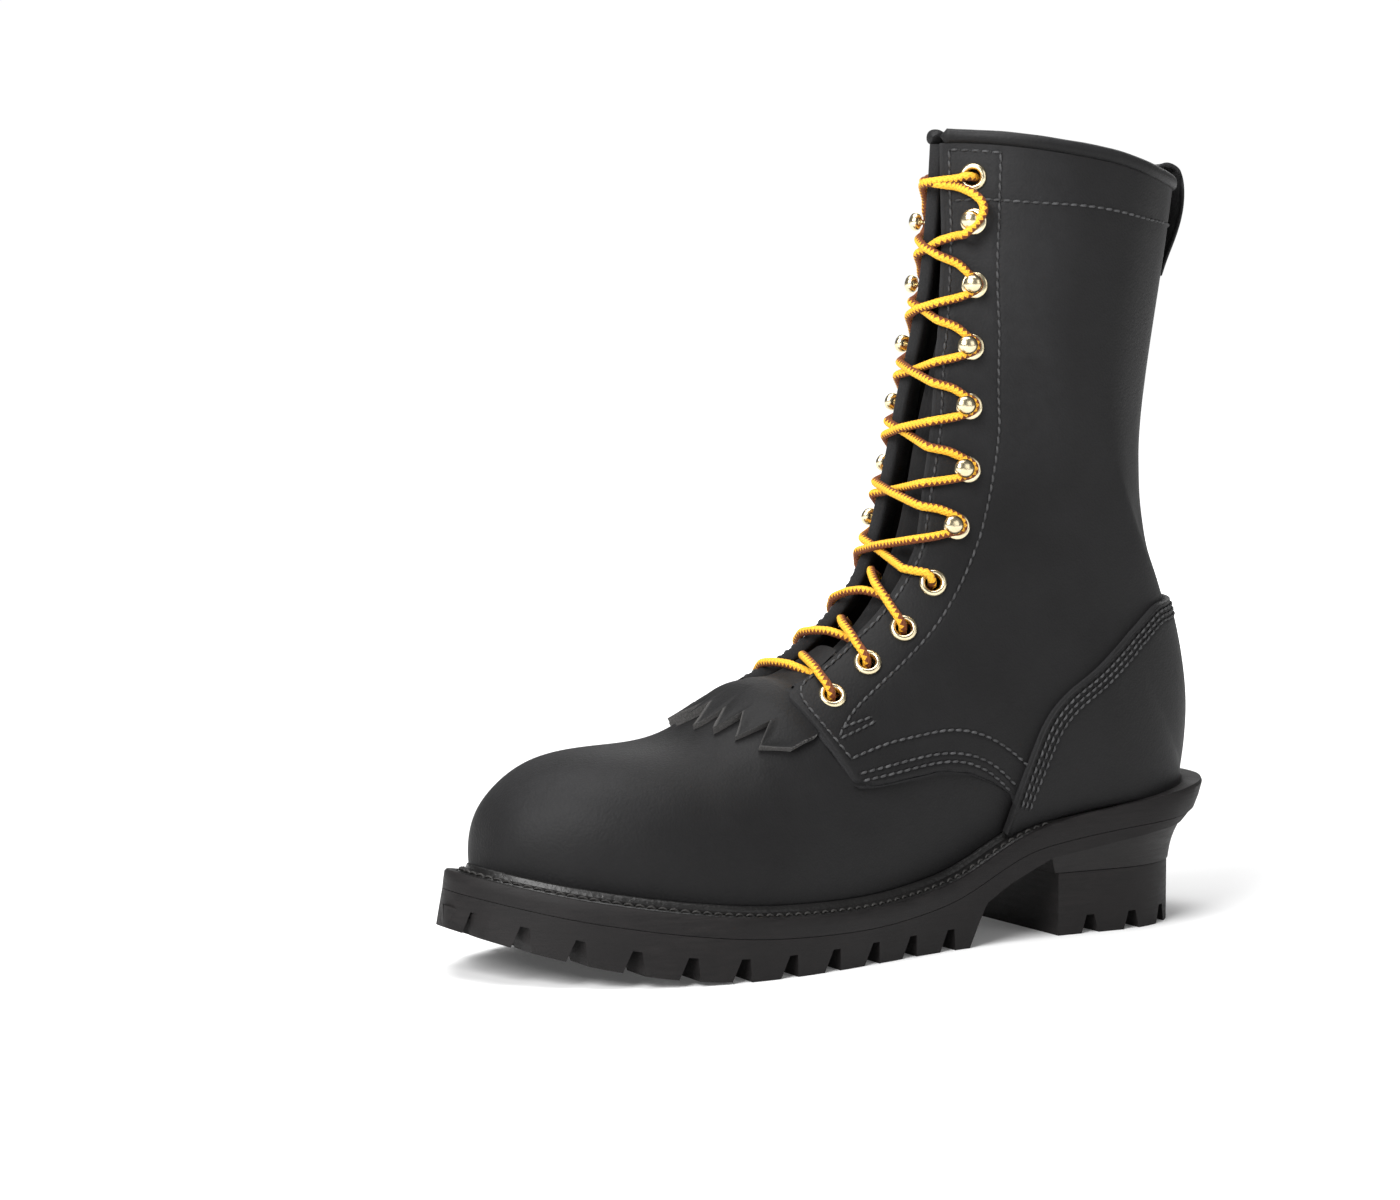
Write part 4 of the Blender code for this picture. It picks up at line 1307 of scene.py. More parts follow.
@dataclass(frozen=True)
class Crease:
    """Soft trough on the leather from mark to mark, with a low ridge beside it."""

    marks: tuple[tuple[float, float], ...]
    depth: float
    width: float

    def press(self, points: Array, side: Side) -> Array:
        """Depth of the crease at points.

        Args:
            points: Points on the leather.
            side: Side of the boot.

        Returns:
            Distance by which each point moves out of the leather.
        """
        line = LAST.line(np.array(self.marks), side, 0.0, 0.002)
        reach = 4 * self.width
        gap = distance_to(points, line.points, reach) / self.width
        ends = np.minimum(*(np.linalg.norm(points - line.points[i], axis=-1) for i in (0, -1)))
        fade = ease(0.0, 3.5 * self.width, ends)
        shape = -np.exp(-gap ** 2) + 0.35 * np.exp(-((gap - 1.9) / 0.8) ** 2)
        return self.depth * fade * shape * (gap < 3.99)


@dataclass
class Upper:
    """Leather upper: vamp, two quarters, lining and their stitching."""

    wall: float = 0.0018
    lap: float = 0.0014
    facing: float = 0.0034
    flap: float = 0.0009
    vamp_rows: int = 190
    vamp_columns: int = 96
    vamp_end: float = 8.55
    vamp_tuck: float = 0.35
    quarter_rows: int = 230
    quarter_columns: int = 150
    lining_rows: int = 110
    lining_columns: int = 48
    hole: float = 0.0036
    top_row: float = 13.93
    top_corner: float = 0.163
    front_edge: Pairs = (
        (0.0, 0.0002, 0.0009, 0.0011, 0.0015, 0.0025), (0.0, 0.0007, 0.0009, 0.0018, 0.0022, 0.0023))
    low_edge: Pairs = (
        (0.0, 0.00025, 0.0007, 0.0014), (-0.0002, 0.0007, 0.0012, 0.0014))
    stitch: StitchKind = field(default_factory=StitchKind)
    vamp_creases: tuple[Crease, ...] = (
        Crease(((5.72, 0.46), (5.55, 0.56), (5.45, 0.68)), 0.0007, 0.0050),
        Crease(((5.10, 0.50), (4.95, 0.62), (4.95, 0.74)), 0.0005, 0.0060),
        Crease(((5.95, 0.62), (6.20, 0.74), (6.60, 0.84)), 0.0005, 0.0055),
    )
    quarter_creases: tuple[Crease, ...] = (
        Crease(((8.10, 0.50), (9.20, 0.58), (10.20, 0.60)), 0.0006, 0.0075),
        Crease(((8.90, 0.44), (10.00, 0.47), (11.00, 0.50)), 0.0005, 0.0065),
        Crease(((9.80, 0.42), (10.90, 0.40), (11.60, 0.42)), 0.0005, 0.0080),
        Crease(((12.00, 0.55), (12.30, 0.68), (12.50, 0.84)), 0.0006, 0.0095),
    )

    def seam(self, across: Array) -> Array:
        """Section at which the quarters end over the vamp, with softened corners.

        Args:
            across: Shares from the throat's edge to the sole.

        Returns:
            Sections.
        """
        fine = np.linspace(-0.1, 1.1, 1201)
        raw = straight(QUARTER_SEAM, "section", fine)
        reach = 30
        kernel = bell(reach, 8.0)
        soft = np.convolve(np.pad(raw, reach, mode="edge"), kernel / kernel.sum(), mode="valid")
        return np.interp(across, fine, soft)

    def top(self, s: Array, k: Array) -> Array:
        """Lift of a quarter's outer face, raised where its flap lies on the kiltie."""
        return self.lap + self.flap * (1 - ease(6.55, 7.05, s)) * (1 - ease(0.46, 0.68, k))

    def rows_of_stitches(self) -> list[Array]:
        """Marks of every row of stitches on a quarter.

        Returns:
            Rows of section and share k.
        """
        front = np.linspace(self.top_row, 6.95, 40)
        inside = np.interp(front, (6.9, 8.6, 10.0, 13.8), (0.0018, 0.0018, 0.0020, 0.0021))
        front_row = np.stack([front, LAST.throat_k(front, inside)], -1)
        flap = ((6.66, 0.212), (6.50, 0.240), (6.42, 0.290), (6.395, 0.360), (6.395, 0.450), (6.43, 0.545))
        top = np.linspace(float(LAST.throat_k(self.top_row, inside[0])), self.top_corner, 6)
        rows = (
            np.concatenate([front_row, flap]),
            [(self.top_row, k) for k in top],
            ((self.top_row, self.top_corner), (12.855, 0.180), (11.75, 0.203), (10.98, 0.235),
             (10.30, 0.308), (9.68, 0.365), (9.135, 0.390), (8.625, 0.394), (7.905, 0.376), (7.52, 0.374),
             (7.15, 0.384), (6.79, 0.412), (6.47, 0.460)),
            ((13.375, 0.053), (13.41, 0.093), (13.475, 0.175), (13.575, 0.284), (13.68, 0.401),
             (13.80, 0.647), (13.845, 0.800), (13.862, 0.985)),
            ((6.42, 0.628), (6.99, 0.648), (7.39, 0.672), (7.70, 0.714), (7.95, 0.782), (8.14, 0.870)),
            ((6.43, 0.602), (7.04, 0.622), (7.47, 0.654), (7.76, 0.700), (8.03, 0.774), (8.22, 0.864)),
            ((6.44, 0.545), (7.01, 0.550), (7.36, 0.576), (7.70, 0.616), (8.11, 0.712), (8.44, 0.838)),
            ((6.47, 0.468), (6.73, 0.468), (7.01, 0.468)),
            ((6.58, 0.438), (6.80, 0.442), (7.00, 0.450)),
        )
        return [np.array(row) for row in rows]

    @staticmethod
    def relief(points: Array, side: Side, lines: list[Line], creases: tuple[Crease, ...]) -> Array:
        """Move of each point out of the leather, by soft creases and grooves under stitches."""
        return sum(crease.press(points, side) for crease in creases) - grooves(points, lines)

    def holes(self, points: Array, side: Side, lift: float) -> Array:
        """Quads of a sheet that the eyelets' holes take out.

        Args:
            points: Rows x columns x 3.
            side: Side of the boot.
            lift: Lift of the sheet.

        Returns:
            A flag per quad.
        """
        middle = 0.25 * (points[:-1, :-1] + points[1:, :-1] + points[:-1, 1:] + points[1:, 1:])
        taken = np.zeros(middle.shape[:2], bool)
        for place in (*EYELET_SECTIONS, TOP_EYELET):
            centre = LAST.skin(place, LAST.row_k(place), side, lift)
            taken |= np.linalg.norm(middle - centre, axis=-1) < self.hole
        return taken

    def vamp(self) -> None:
        """Vamp over toe and instep, tucked under the quarters."""
        sheets = Sheets()
        across = np.linspace(0, 1, self.vamp_columns)
        s = np.linspace(0, 1, self.vamp_rows)[:, None] ** 1.05 * self.vamp_end * np.ones(self.vamp_columns)
        low = LAST.throat_k(s)
        k = low + across * (1 - low)
        beyond = s[:-1, :-1] > self.seam(across[:-1]) + self.vamp_tuck
        for side in Side:
            points = LAST.skin(s, k, side, 0.0)
            lift = self.relief(points, side, [], self.vamp_creases)
            toe = ease(0.075, 0.125, points[..., 0]) * ease(0.045, 0.075, points[..., 2])
            sheets.grid(LAST.skin(s, k, side, lift), skip=beyond, wear=0.30 * toe)
        settle(sheets.build("vamp", UPPER_LEATHER), "leather", "upper")

    def quarter(self, side: Side, lines: list[Line]) -> None:
        """One quarter, from its front flap round to the back seam.

        Args:
            side: Side of the boot.
            lines: Rows of stitches on it.
        """
        inside = np.array((0.0066, 0.0060, 0.0012, 0.0004, 0.0, 0.0, 0.0003, 0.0009, 0.0020))
        high = np.array((0.0012, 0.0, 0.0, 0.0004, 0.0012, 0.0, 0.0, 0.0, 0.0)) - self.facing
        high[5:] = self.lap - np.array((0.0009, 0.0003, 0.0001, 0.0))
        fine = np.linspace(0, 1, 600)
        edge_s = self.seam(fine)
        edge_k = LAST.throat_k(edge_s) + fine * (1 - LAST.throat_k(edge_s))
        edge_line = LAST.surface(edge_s, edge_k, side)
        run = lengths(edge_line)
        across = np.interp(np.linspace(0, 1, self.quarter_columns), 0.5 * run / run[-1] + 0.5 * fine, fine)
        start = np.concatenate([np.zeros(len(inside)), across[1:]])
        part = np.linspace(0, 1, self.quarter_rows)[:, None] ** 1.35
        s = self.seam(start) + part * (TOP - self.seam(start))
        edge_columns = [LAST.throat_k(s[:, i], far) for i, far in enumerate(inside)]
        first = edge_columns[-1][:, None]
        k = np.concatenate([np.stack(edge_columns, 1), first + across[1:] * (1 - first)], 1)
        raised = self.top(s, k) - self.lap
        base = np.concatenate([high, np.full(len(across) - 1, self.lap)])
        flat = LAST.skin(s, k, side, self.lap)
        gap = distance_to(flat, edge_line + LAST.normal(edge_s, edge_k, side) * self.lap, 0.006)
        front = 1 - ease(0.53, 0.58, start)
        drop = front * (np.interp(gap, *self.front_edge) - self.front_edge[1][-1])
        drop = drop + (1 - front) * (np.interp(gap, *self.low_edge) - self.low_edge[1][-1])
        lift = np.maximum(base + raised * (base > 0) + drop, -self.facing)
        lift = lift + self.relief(flat, side, lines, self.quarter_creases) * (base > 0)
        points = LAST.skin(s, k, side, lift)
        raw = np.zeros(s.shape)
        raw[:, 2:7] = 1.0
        raw = np.maximum(raw, 1 - ease(0.0003, 0.0009 + 0.0012 * front, gap))
        rubbed = 0.25 * ease(0.14, 0.20, points[..., 2]) * (1 - ease(0.30, 0.42, k))
        sheets = Sheets()
        sheets.grid(points, skip=self.holes(points, side, self.lap), edge=raw, wear=rubbed)
        settle(sheets.build(f"quarter_{side.name.lower()}", UPPER_LEATHER), "leather", "upper")

    def lining(self) -> None:
        """Inner face of the upper."""
        sheets = Sheets()
        across = np.linspace(0, 1, self.lining_columns)
        s = np.linspace(0.02, TOP, self.lining_rows)[:, None] * np.ones(self.lining_columns)
        low = LAST.throat_k(s, 0.0030 * ease(6.05, 6.4, s))
        k = low + across * (1 - low)
        for side in Side:
            points = LAST.skin(s, k, side, -self.wall - 0.0001)
            sheets.grid(points, skip=self.holes(points, side, -self.wall), edge=0.4)
        settle(sheets.build("lining", LINING_LEATHER), "leather", "upper")

    def build(self) -> None:
        """Make vamp, quarters, lining and stitching."""
        self.vamp()
        rows = self.rows_of_stitches()
        sewn = Sheets()
        for side in Side:
            lines = [LAST.line(marks, side, self.top) for marks in rows]
            self.quarter(side, lines)
            for line in lines:
                self.stitch.sew(sewn, line)
        self.lining()
        settle(sewn.build("upper_stitches", SEAM_THREAD), "leather")


@dataclass
class HeelPocket:
    """Counter round the heel and the strip over the back seam, with their stitching."""

    lap: float = 0.0014
    thick: float = 0.0025
    fore_rows: int = 110
    back_rows: int = 61
    columns: int = 74
    counter_start: float = 7.95
    counter_end: float = 12.25
    strip_start: float = 12.05
    strip_end: float = 13.68
    strip_rows: int = 94
    strip_thick: float = 0.0020
    roll: Pairs = (
        (0.0, 0.0002, 0.0005, 0.0008, 0.0011, 0.0016, 0.0034),
        (0.0, 0.0015, 0.0024, 0.0027, 0.0025, 0.0023, 0.0025))
    stitch_lines: tuple[float, ...] = (0.0028, 0.0050, 0.0072)
    stitch: StitchKind = field(default_factory=lambda: StitchKind(pitch=0.0033, length=0.0027))

    def counter(self, sewn: Sheets) -> None:
        """Counter with a beaded edge and three rows of stitches.

        Args:
            sewn: Mesh that takes the stitches.
        """
        fore = np.linspace(self.counter_start, HEEL_SECTION, self.fore_rows)
        back = np.linspace(HEEL_SECTION, self.counter_end, self.back_rows)
        s = np.concatenate([fore, back[1:]])
        edge = LAST.counter_k(s)
        marks = np.stack([s, edge], -1)
        part = np.linspace(0, 1, self.columns) ** 1.7
        k = edge[:, None] + part * (1 - edge[:, None])
        grid_s = np.broadcast_to(s[:, None], k.shape)
        sheets = Sheets()
        for side in Side:
            flat = LAST.skin(grid_s, k, side, self.lap)
            rim = LAST.skin(s, edge, side, self.lap)
            lift = np.interp(distance_to(flat, rim, 0.0061), *self.roll)
            lines = [
                LAST.line(LAST.beside(marks[6:], side, -distance), side, self.lap + self.thick)
                for distance in self.stitch_lines]
            outer = LAST.skin(grid_s, k, side, self.lap + lift)
            lift = lift - grooves(outer, lines)
            for line in lines:
                self.stitch.sew(sewn, line)
            rub = 0.3 * ease(0.09, 0.06, outer[..., 2]) * ease(-0.10, -0.14, outer[..., 0])
            points = LAST.skin(grid_s, k, side, self.lap + lift)
            sheets.grid(points, edge=0.7 * (lift < 0.0012) * (k < 0.9), wear=rub)
        settle(sheets.build("counter_leather", UPPER_LEATHER), "leather", "counter")

    def backstay(self, sewn: Sheets) -> None:
        """Strip over the back seam.

        Args:
            sewn: Mesh that takes the stitches.
        """
        s = np.linspace(self.strip_start, self.strip_end, self.strip_rows)
        half = np.interp(s, (self.strip_start, 13.5), (0.0085, 0.0075))
        edge = LAST.k_at(s, half, rear=True)
        part = np.concatenate([[0.0, 0.0, 0.02, 0.06, 0.12], np.linspace(0.2, 1, 12)])
        high = np.concatenate([[-0.0002, 0.0010, 0.0016, 0.0019], np.full(13, self.strip_thick)])
        k = edge[:, None] + part * (1 - edge[:, None])
        grid_s = np.broadcast_to(s[:, None], k.shape)
        sheets = Sheets()
        for side in Side:
            sheets.grid(LAST.skin(grid_s, k, side, self.lap + high), edge=0.4 * (part < 0.05))
            inside = np.stack([s[6:-3], LAST.k_at(s, half - 0.0022, rear=True)[6:-3]], -1)
            self.stitch.sew(sewn, LAST.line(inside, side, self.lap + self.strip_thick))
        settle(sheets.build("backstay_strip", TRIM_LEATHER), "leather", "backstay")

    def build(self) -> None:
        """Make counter, strip and stitching."""
        sewn = Sheets()
        self.counter(sewn)
        self.backstay(sewn)
        settle(sewn.build("heel_stitches", SEAM_THREAD), "leather")


@dataclass
class Collar:
    """Rolled binding on the collar and the pull loop at the back."""

    lap: float = 0.0014
    wall: float = 0.0018
    thick: float = 0.0031
    high: float = 0.0027
    around: int = 22
    loop_half: float = 0.0115

    def frames(self, k: Array, side: Side) -> tuple[Array, Array, Array]:
        """Top edge of the upper.

        Args:
            k: Shares from throat to back.
            side: Side of the boot.

        Returns:
            Points with their outward and upward directions.
        """
        place = LAST.skin(TOP, k, side, (self.lap - self.wall) / 2)
        out = LAST.normal(np.full_like(k, TOP), k, side)
        up = LAST.surface(TOP, k, side) - LAST.surface(TOP - 0.05, k, side)
        return place, out, unit(up)

    def binding(self) -> None:
        """Roll of leather round the collar, with a closed bulb at each end of the throat."""
        start = float(LAST.throat_k(TOP))
        fine = np.linspace(start, 1, 110)
        parts = [self.frames(fine, Side.OUTER), self.frames(fine[::-1][1:], Side.INNER)]
        place, out, up = (np.concatenate(pair) for pair in zip(*parts))
        run = lengths(place)
        ends = np.minimum(run, run[-1] - run)
        size = np.sqrt(np.clip(1 - (1 - np.clip(ends / 0.0026, 0, 1)) ** 2, 0.0004, 1))
        size = size * (1 + 0.16 * np.exp(-(ends / 0.004) ** 2))
        size = size * (1 + 0.025 * np.sin(run * 310) * np.sin(run * 97))
        turn = 2 * np.pi * np.arange(self.around) / self.around
        wide = self.thick * np.sign(np.cos(turn)) * np.abs(np.cos(turn)) ** 0.85
        tall = self.high * np.sign(np.sin(turn)) * np.abs(np.sin(turn)) ** 0.85
        middle = place + up * (GAP + self.high - 0.0004)
        ring = wide[:, None] * out[:, None] + tall[:, None] * up[:, None]
        points = middle[:, None] + size[:, None, None] * ring
        sheets = Sheets()
        sheets.grid(points, loop=True, wear=0.25 * (np.sin(turn) > 0.2))
        settle(sheets.build("binding_roll", TRIM_LEATHER), "leather", "collar_binding")

    def loop(self) -> None:
        """Strap from inside the collar over the binding and down the back."""
        curve = Curve(LOOP_PROFILE)
        along = np.linspace(0, len(LOOP_PROFILE["high"]) - 1, 90)
        start = float(LAST.k_at(TOP, self.loop_half, rear=True))
        part = np.concatenate([[0.0, 0.03, 0.09], np.linspace(0.2, 1, 8)])
        round_off = np.concatenate([[0.5, 0.2, 0.05], np.zeros(8)])
        k = start + part * (1 - start)
        s, _ = spread(np.clip(curve.at("section", along), 0, TOP)[:, None], k)
        level = {name: curve.at(name, along)[:, None] for name in ("inner", "outer", "high")}
        thin = np.interp(along, (2.4, 3.0, 4.0, 5.0, 5.6), (0.0, 0.0018, 0.0019, 0.0018, 0.0))[:, None]
        sheets = Sheets()
        for side in Side:
            _, _, up = self.frames(k, side)
            faces = []
            for name, other, down in (("inner", "outer", 0.0), ("outer", "inner", thin)):
                lift = level[name] + round_off * (level[other] - level[name])
                high = (level["high"] - down)[..., None] * up
                faces.append(LAST.skin(s, k, side, lift) + high)
            for sheet in faces:
                sheets.grid(sheet)
            sheets.grid(np.stack([faces[0][:, 0], faces[1][:, 0]], 1), edge=1.0)
            for end in (0, -1):
                sheets.grid(np.stack([faces[0][end], faces[1][end]], 0), edge=1.0)
        settle(sheets.build("pull_strap", TRIM_LEATHER), "leather", "pull_loop")

    def build(self) -> None:
        """Make binding and loop."""
        self.binding()
        self.loop()


@dataclass
class Throat:
    """Tongue behind the throat and the fringed kiltie before it."""

    depth: float = 0.0097
    thick: float = 0.0030
    cover: float = 0.0095
    kiltie_thick: float = 0.0025

    def tongue(self) -> None:
        """Tongue with soft lengthwise folds and turned edges."""
        s = np.linspace(5.95, 13.97, 170)
        gap = straight(THROAT, "gap", s)
        width = np.interp(s, (5.95, 7.0, 13.95), (0.016, 0.026, 0.0190))
        half = np.maximum(np.minimum(gap + self.cover, 0.030), width)
        half = half * np.sqrt(np.clip(1 - 0.5 * ease(13.6, 14.0, s) ** 3, 0, 1))
        edge = TONGUE_LAST.k_at(s, half)
        part = np.linspace(0, 1, 34) ** 0.8
        k = part * edge[:, None]
        grid_s = np.broadcast_to(s[:, None], k.shape)
        fold = 0.0006 * np.sin(9 * part + 0.9 * np.sin(0.8 * s)[:, None]) * np.sin(1.7 * s)[:, None]
        round_off = 0.0014 * part ** 14
        sheets = Sheets()
        for side in Side:
            top = TONGUE_LAST.skin(grid_s, k, side, -self.depth + fold - round_off)
            low = TONGUE_LAST.skin(grid_s, k, side, -self.depth - self.thick + round_off)
            sheets.grid(top, edge=0.5)
            sheets.grid(low)
            sheets.grid(np.stack([top[:, -1], low[:, -1]], 1), edge=1.0)
            for end in (0, -1):
                sheets.grid(np.stack([top[end], low[end]], 0), edge=1.0)
        settle(sheets.build("tongue_leather_piece", TONGUE_LEATHER), "leather", "tongue")

    def kiltie(self) -> None:
        """Thick apron with a saw edge, running back under the flaps and into the throat."""
        knots = KILTIE_EDGE["across"]
        k_line = np.unique(np.concatenate([knots, np.linspace(0, knots[-1], 84)]))
        front = straight(KILTIE_EDGE, "section", k_line)
        back = np.interp(k_line, (0.0, 0.135, 0.20, 0.41), (7.3, 7.3, 6.55, 6.48))
        part = np.linspace(0, 1, 44)[:, None] ** 1.4
        s = front + part * (back - front)
        k = np.broadcast_to(k_line, s.shape) * np.interp(s, (6.2, 6.5, 7.3), (1.0, 0.92, 0.80))
        top = Curve(KILTIE_LIFT, "section").at("top", s)
        curl = 0.0006 * (1 - ease(0.0, 0.25, part)) * np.cos(k * 40)
        low = np.where(s < 6.26, np.maximum(top - self.kiltie_thick, 0.0001), top - self.kiltie_thick)
        sheets = Sheets()
        for side in Side:
            outer = LAST.skin(s, k, side, top + curl)
            inner = LAST.skin(s, k, side, low)
            outer[0] = LAST.skin(s[0] + 0.004, k[0], side, top[0] + curl[0] + 0.00015)
            sheets.grid(outer, edge=np.clip(1 - 20 * part, 0, 1) * np.ones_like(s))
            sheets.grid(inner, edge=1.0)
            rim = [outer[0] + t * (inner[0] - outer[0]) for t in np.linspace(0, 1, 6)]
            sheets.grid(np.stack(rim), edge=1.0)
            sheets.grid(np.stack([outer[:, -1], inner[:, -1]], 1), edge=1.0)
        settle(sheets.build("kiltie_fringe", FRINGE_LEATHER, sharp=50), "leather", "kiltie")

    def build(self) -> None:
        """Make tongue and kiltie."""
        self.tongue()
        self.kiltie()


@dataclass
class Sole:
    """Welt, insole, midsole, outsole and heel."""

    welt: float = 0.0034
    mid: float = 0.0044
    count: int = 170
    welt_toe: float = 0.0085
    rim_rise: float = 0.0026
    breast_top: float = -0.0732
    breast_middle: float = -0.0768
    breast_low: float = -0.0785
    split: float = 0.0240
    lift_side: float = 0.0050
    lift_back: float = 0.0118
    lug_start: float = 0.348
    lug_begin: float = 0.378
    lug_notches: int = 11
    lug_phase: float = 1.02
    heel_phase: float = 0.75
    lug_depth: float = 0.0140
    lug_slope: float = 0.0016
    notch_open: float = 0.0078
    notch_top: float = 0.0034
    bar_edge: float = 0.37
    bar_slope: float = 0.02
    heel_notches: int = 3
    heel_notch_depth: float = 0.0120
    heel_lug: float = 0.0070
    stitch_end: float = -0.074
    stitch: StitchKind = field(default_factory=lambda: StitchKind(
        pitch=0.0040, length=0.0036, width=0.0013, high=0.0004, sink=0.0004, slant=0.22))

    def welt_bottom(self, x: Array) -> Array:
        """Underside of the welt."""
        return LAST.rise(x) - GAP - self.welt

    def mid_bottom(self, x: Array) -> Array:
        """Underside of the midsole."""
        return self.welt_bottom(x) - GAP - self.mid

    def ring(self, inset: float, heel: float, toe: float, height: Heights, end: float = 1.0) -> Array:
        """Closed line round the sole, from the heel along the outer side and back along the inner.

        Args:
            inset: Distance drawn in at the sides.
            heel: Distance drawn in at the heel.
            toe: Distance drawn in at the toe.
            height: Height from place along the sole and share.
            end: Share where the line turns back.

        Returns:
            Points of the ring.
        """
        if end < 1.0:
            share = end * (1 - np.cos(np.linspace(0, np.pi / 2, self.count)))
        else:
            share = (1 - np.cos(np.linspace(0, np.pi, self.count))) / 2
        x, middle, half = LAST.outline(share, inset, heel, toe)
        z = height(x, share)
        sides = [np.stack([x, middle + sign * half, z], -1) for sign in (1, -1)]
        return np.concatenate([sides[0], sides[1][::-1]])

    def stack(self, name: str, rings: list[Array], finish: Finish, wear: float = 0.0) -> bpy.types.Object:
        """Closed layer through rings from top to bottom.

        Args:
            name: Name of the piece.
            rings: Rings with the same number of points.
            finish: Its finish.
            wear: Wear on its edges.

        Returns:
            The piece.
        """
        sheets = Sheets()
        sheets.grid(np.stack(rings), loop=True, wear=wear)
        for ring in (rings[0], rings[-1]):
            half = len(ring) // 2
            sheets.grid(np.stack([ring[:half], ring[half:][::-1]], 1))
        return sheets.build(name, finish, sharp=38)

    def welt_piece(self) -> None:
        """Welt with a roll against the upper and a sloping stitched rim, flat round the heel."""
        profile = table(
            "depth high",
            (1.16, -0.0006),
            (1.10, 0.0012),
            (1.02, 0.0020),
            (0.92, 0.0023),
            (0.82, 0.0019),
            (0.75, 0.0009),
            (0.70, 0.0002),
            (0.60, 0.0000),
            (0.44, -0.0004),
            (0.30, -0.0009),
            (0.20, -0.0015),
            (0.15, -0.0024),
            (0.14, -0.0034),
        )
        rings = []
        for depth, high in zip(profile["depth"], profile["high"]):
            def height(x: Array, share: Array, high: float = high) -> Array:
                """Roll and slope before the heel, a flat seat at the heel."""
                fore = ease(0.245, 0.275, share)
                seat = -GAP if high > -0.0016 else -self.welt
                return LAST.rise(x) + fore * high + (1 - fore) * seat
            toe = self.welt_toe + (LAST.feather_toe - self.welt_toe) * (depth - 0.14) / 0.86
            inset = 0.9 * depth
            rings.append(self.ring(inset * LAST.feather_side, inset * LAST.feather_heel, toe, height))
        rings.append(self.ring(0.0012, 0.0008, self.welt_toe, lambda x, share: self.welt_bottom(x)))
        piece = self.stack("welt_strip", rings, WELT_LEATHER)
        settle(piece, "welt_leather", "welt")
        row = 0.5 * (rings[8] + rings[9])
        path = row[row[:, 0] > self.stitch_end]
        run = lengths(path)
        points = follow(np.linspace(0, run[-1], int(run[-1] / 0.001)), run, path)
        along = unit(np.gradient(points, axis=0))
        up = np.array((0.0, 0.0, 1.0))
        out = unit(0.8 * np.cross(along, np.cross(up, along)) + 0.45 * np.cross(along, up))
        sewn = Sheets()
        self.stitch.sew(sewn, Line(points + 0.0001 * out, out, along))
        settle(sewn.build("welt_stitches", WELT_THREAD), "welt_leather")

    def insole(self) -> None:
        """Board under the foot."""
        inset = 0.0098
        rings = [
            self.ring(inset + 0.0006, inset + 0.0006, inset + 0.0042, lambda x, share: LAST.rise(x) + 0.0002),
            self.ring(inset, inset, inset + 0.004, lambda x, share: LAST.rise(x) - 0.0006),
            self.ring(inset, inset, inset + 0.004, lambda x, share: self.welt_bottom(x)),
        ]
        settle(self.stack("insole_board_piece", rings, INSOLE_BOARD), "insole_board", "insole")

    def midsole(self) -> None:
        """Layer under the welt, with a lip beside it; its edge slopes in at the heel and out at the toe."""
        rows = table(
            "side heel toe drop lip brim",
            (0.0060, 0.0078, 0.0090, 0.0000, 0.0004, 0.0030),
            (0.0022, 0.0050, 0.0075, 0.0000, 0.0027, 0.0040),
            (0.0006, -0.0028, 0.0042, -0.0003, 0.0029, 0.0043),
            (0.0000, -0.0032, 0.0034, -0.0010, 0.0026, 0.0040),
            (0.0000, -0.0016, 0.0030, -0.0024, 0.0013, 0.0020),
            (0.0000, 0.0008, 0.0027, -0.0038, 0.0000, 0.0000),
            (0.0001, 0.0019, 0.0026, -0.0045, 0.0000, 0.0000),
            (0.0010, 0.0032, 0.0036, -0.0046, 0.0000, 0.0000),
        )
        rings = []
        for side, heel, toe, drop, lip, brim in zip(*rows.values()):
            def height(
                    x: Array, share: Array, drop: float = drop, lip: float = lip,
                    brim: float = brim) -> Array:
                """Level of this row of the edge, up beside the welt and round the heel seat."""
                fore = ease(0.22, 0.32, share)
                rim = self.rim_rise * (brim / 0.0043) * (1 - ease(0.03, 0.20, share))
                return self.welt_bottom(x) - GAP + drop + fore * lip + (1 - fore) * (brim + rim)
            rings.append(self.ring(side, heel, toe, height))
        settle(self.stack("midsole_layer", rings, SOLE_RUBBER), "sole_rubber", "midsole")

    def notch_rows(
            self, start: float, end: float, count: int, sign: int, phase: float,
            insets: tuple[float, ...] = ()) -> Notches:
        """Shares along one edge with a flag for lug faces.

        Args:
            start: Share where the notches start.
            end: Share where they end.
            count: Number of notches.
            sign: Side, +1 outer.
            phase: Place of the first notch, in pitches.
            insets: Distances drawn in from the sole's edge.

        Returns:
            Shares with flags, close enough for a smooth edge.
        """
        shares = np.linspace(start, end, 1500)
        x, middle, half = LAST.outline(shares, *insets)
        step = np.hypot(np.diff(x), np.diff(middle + sign * half))
        far = np.concatenate([[0.0], np.cumsum(step)])
        pitch = far[-1] / (count + 0.5)
        rows = []
        wide, narrow = self.notch_open, self.notch_top
        for centre in pitch * (phase + np.arange(count)):
            for offset, lug in ((-wide, 1), (-narrow, 0), (narrow, 0), (wide, 1)):
                rows.append((float(np.interp(centre + offset / 2, far, shares)), lug))
        return rows

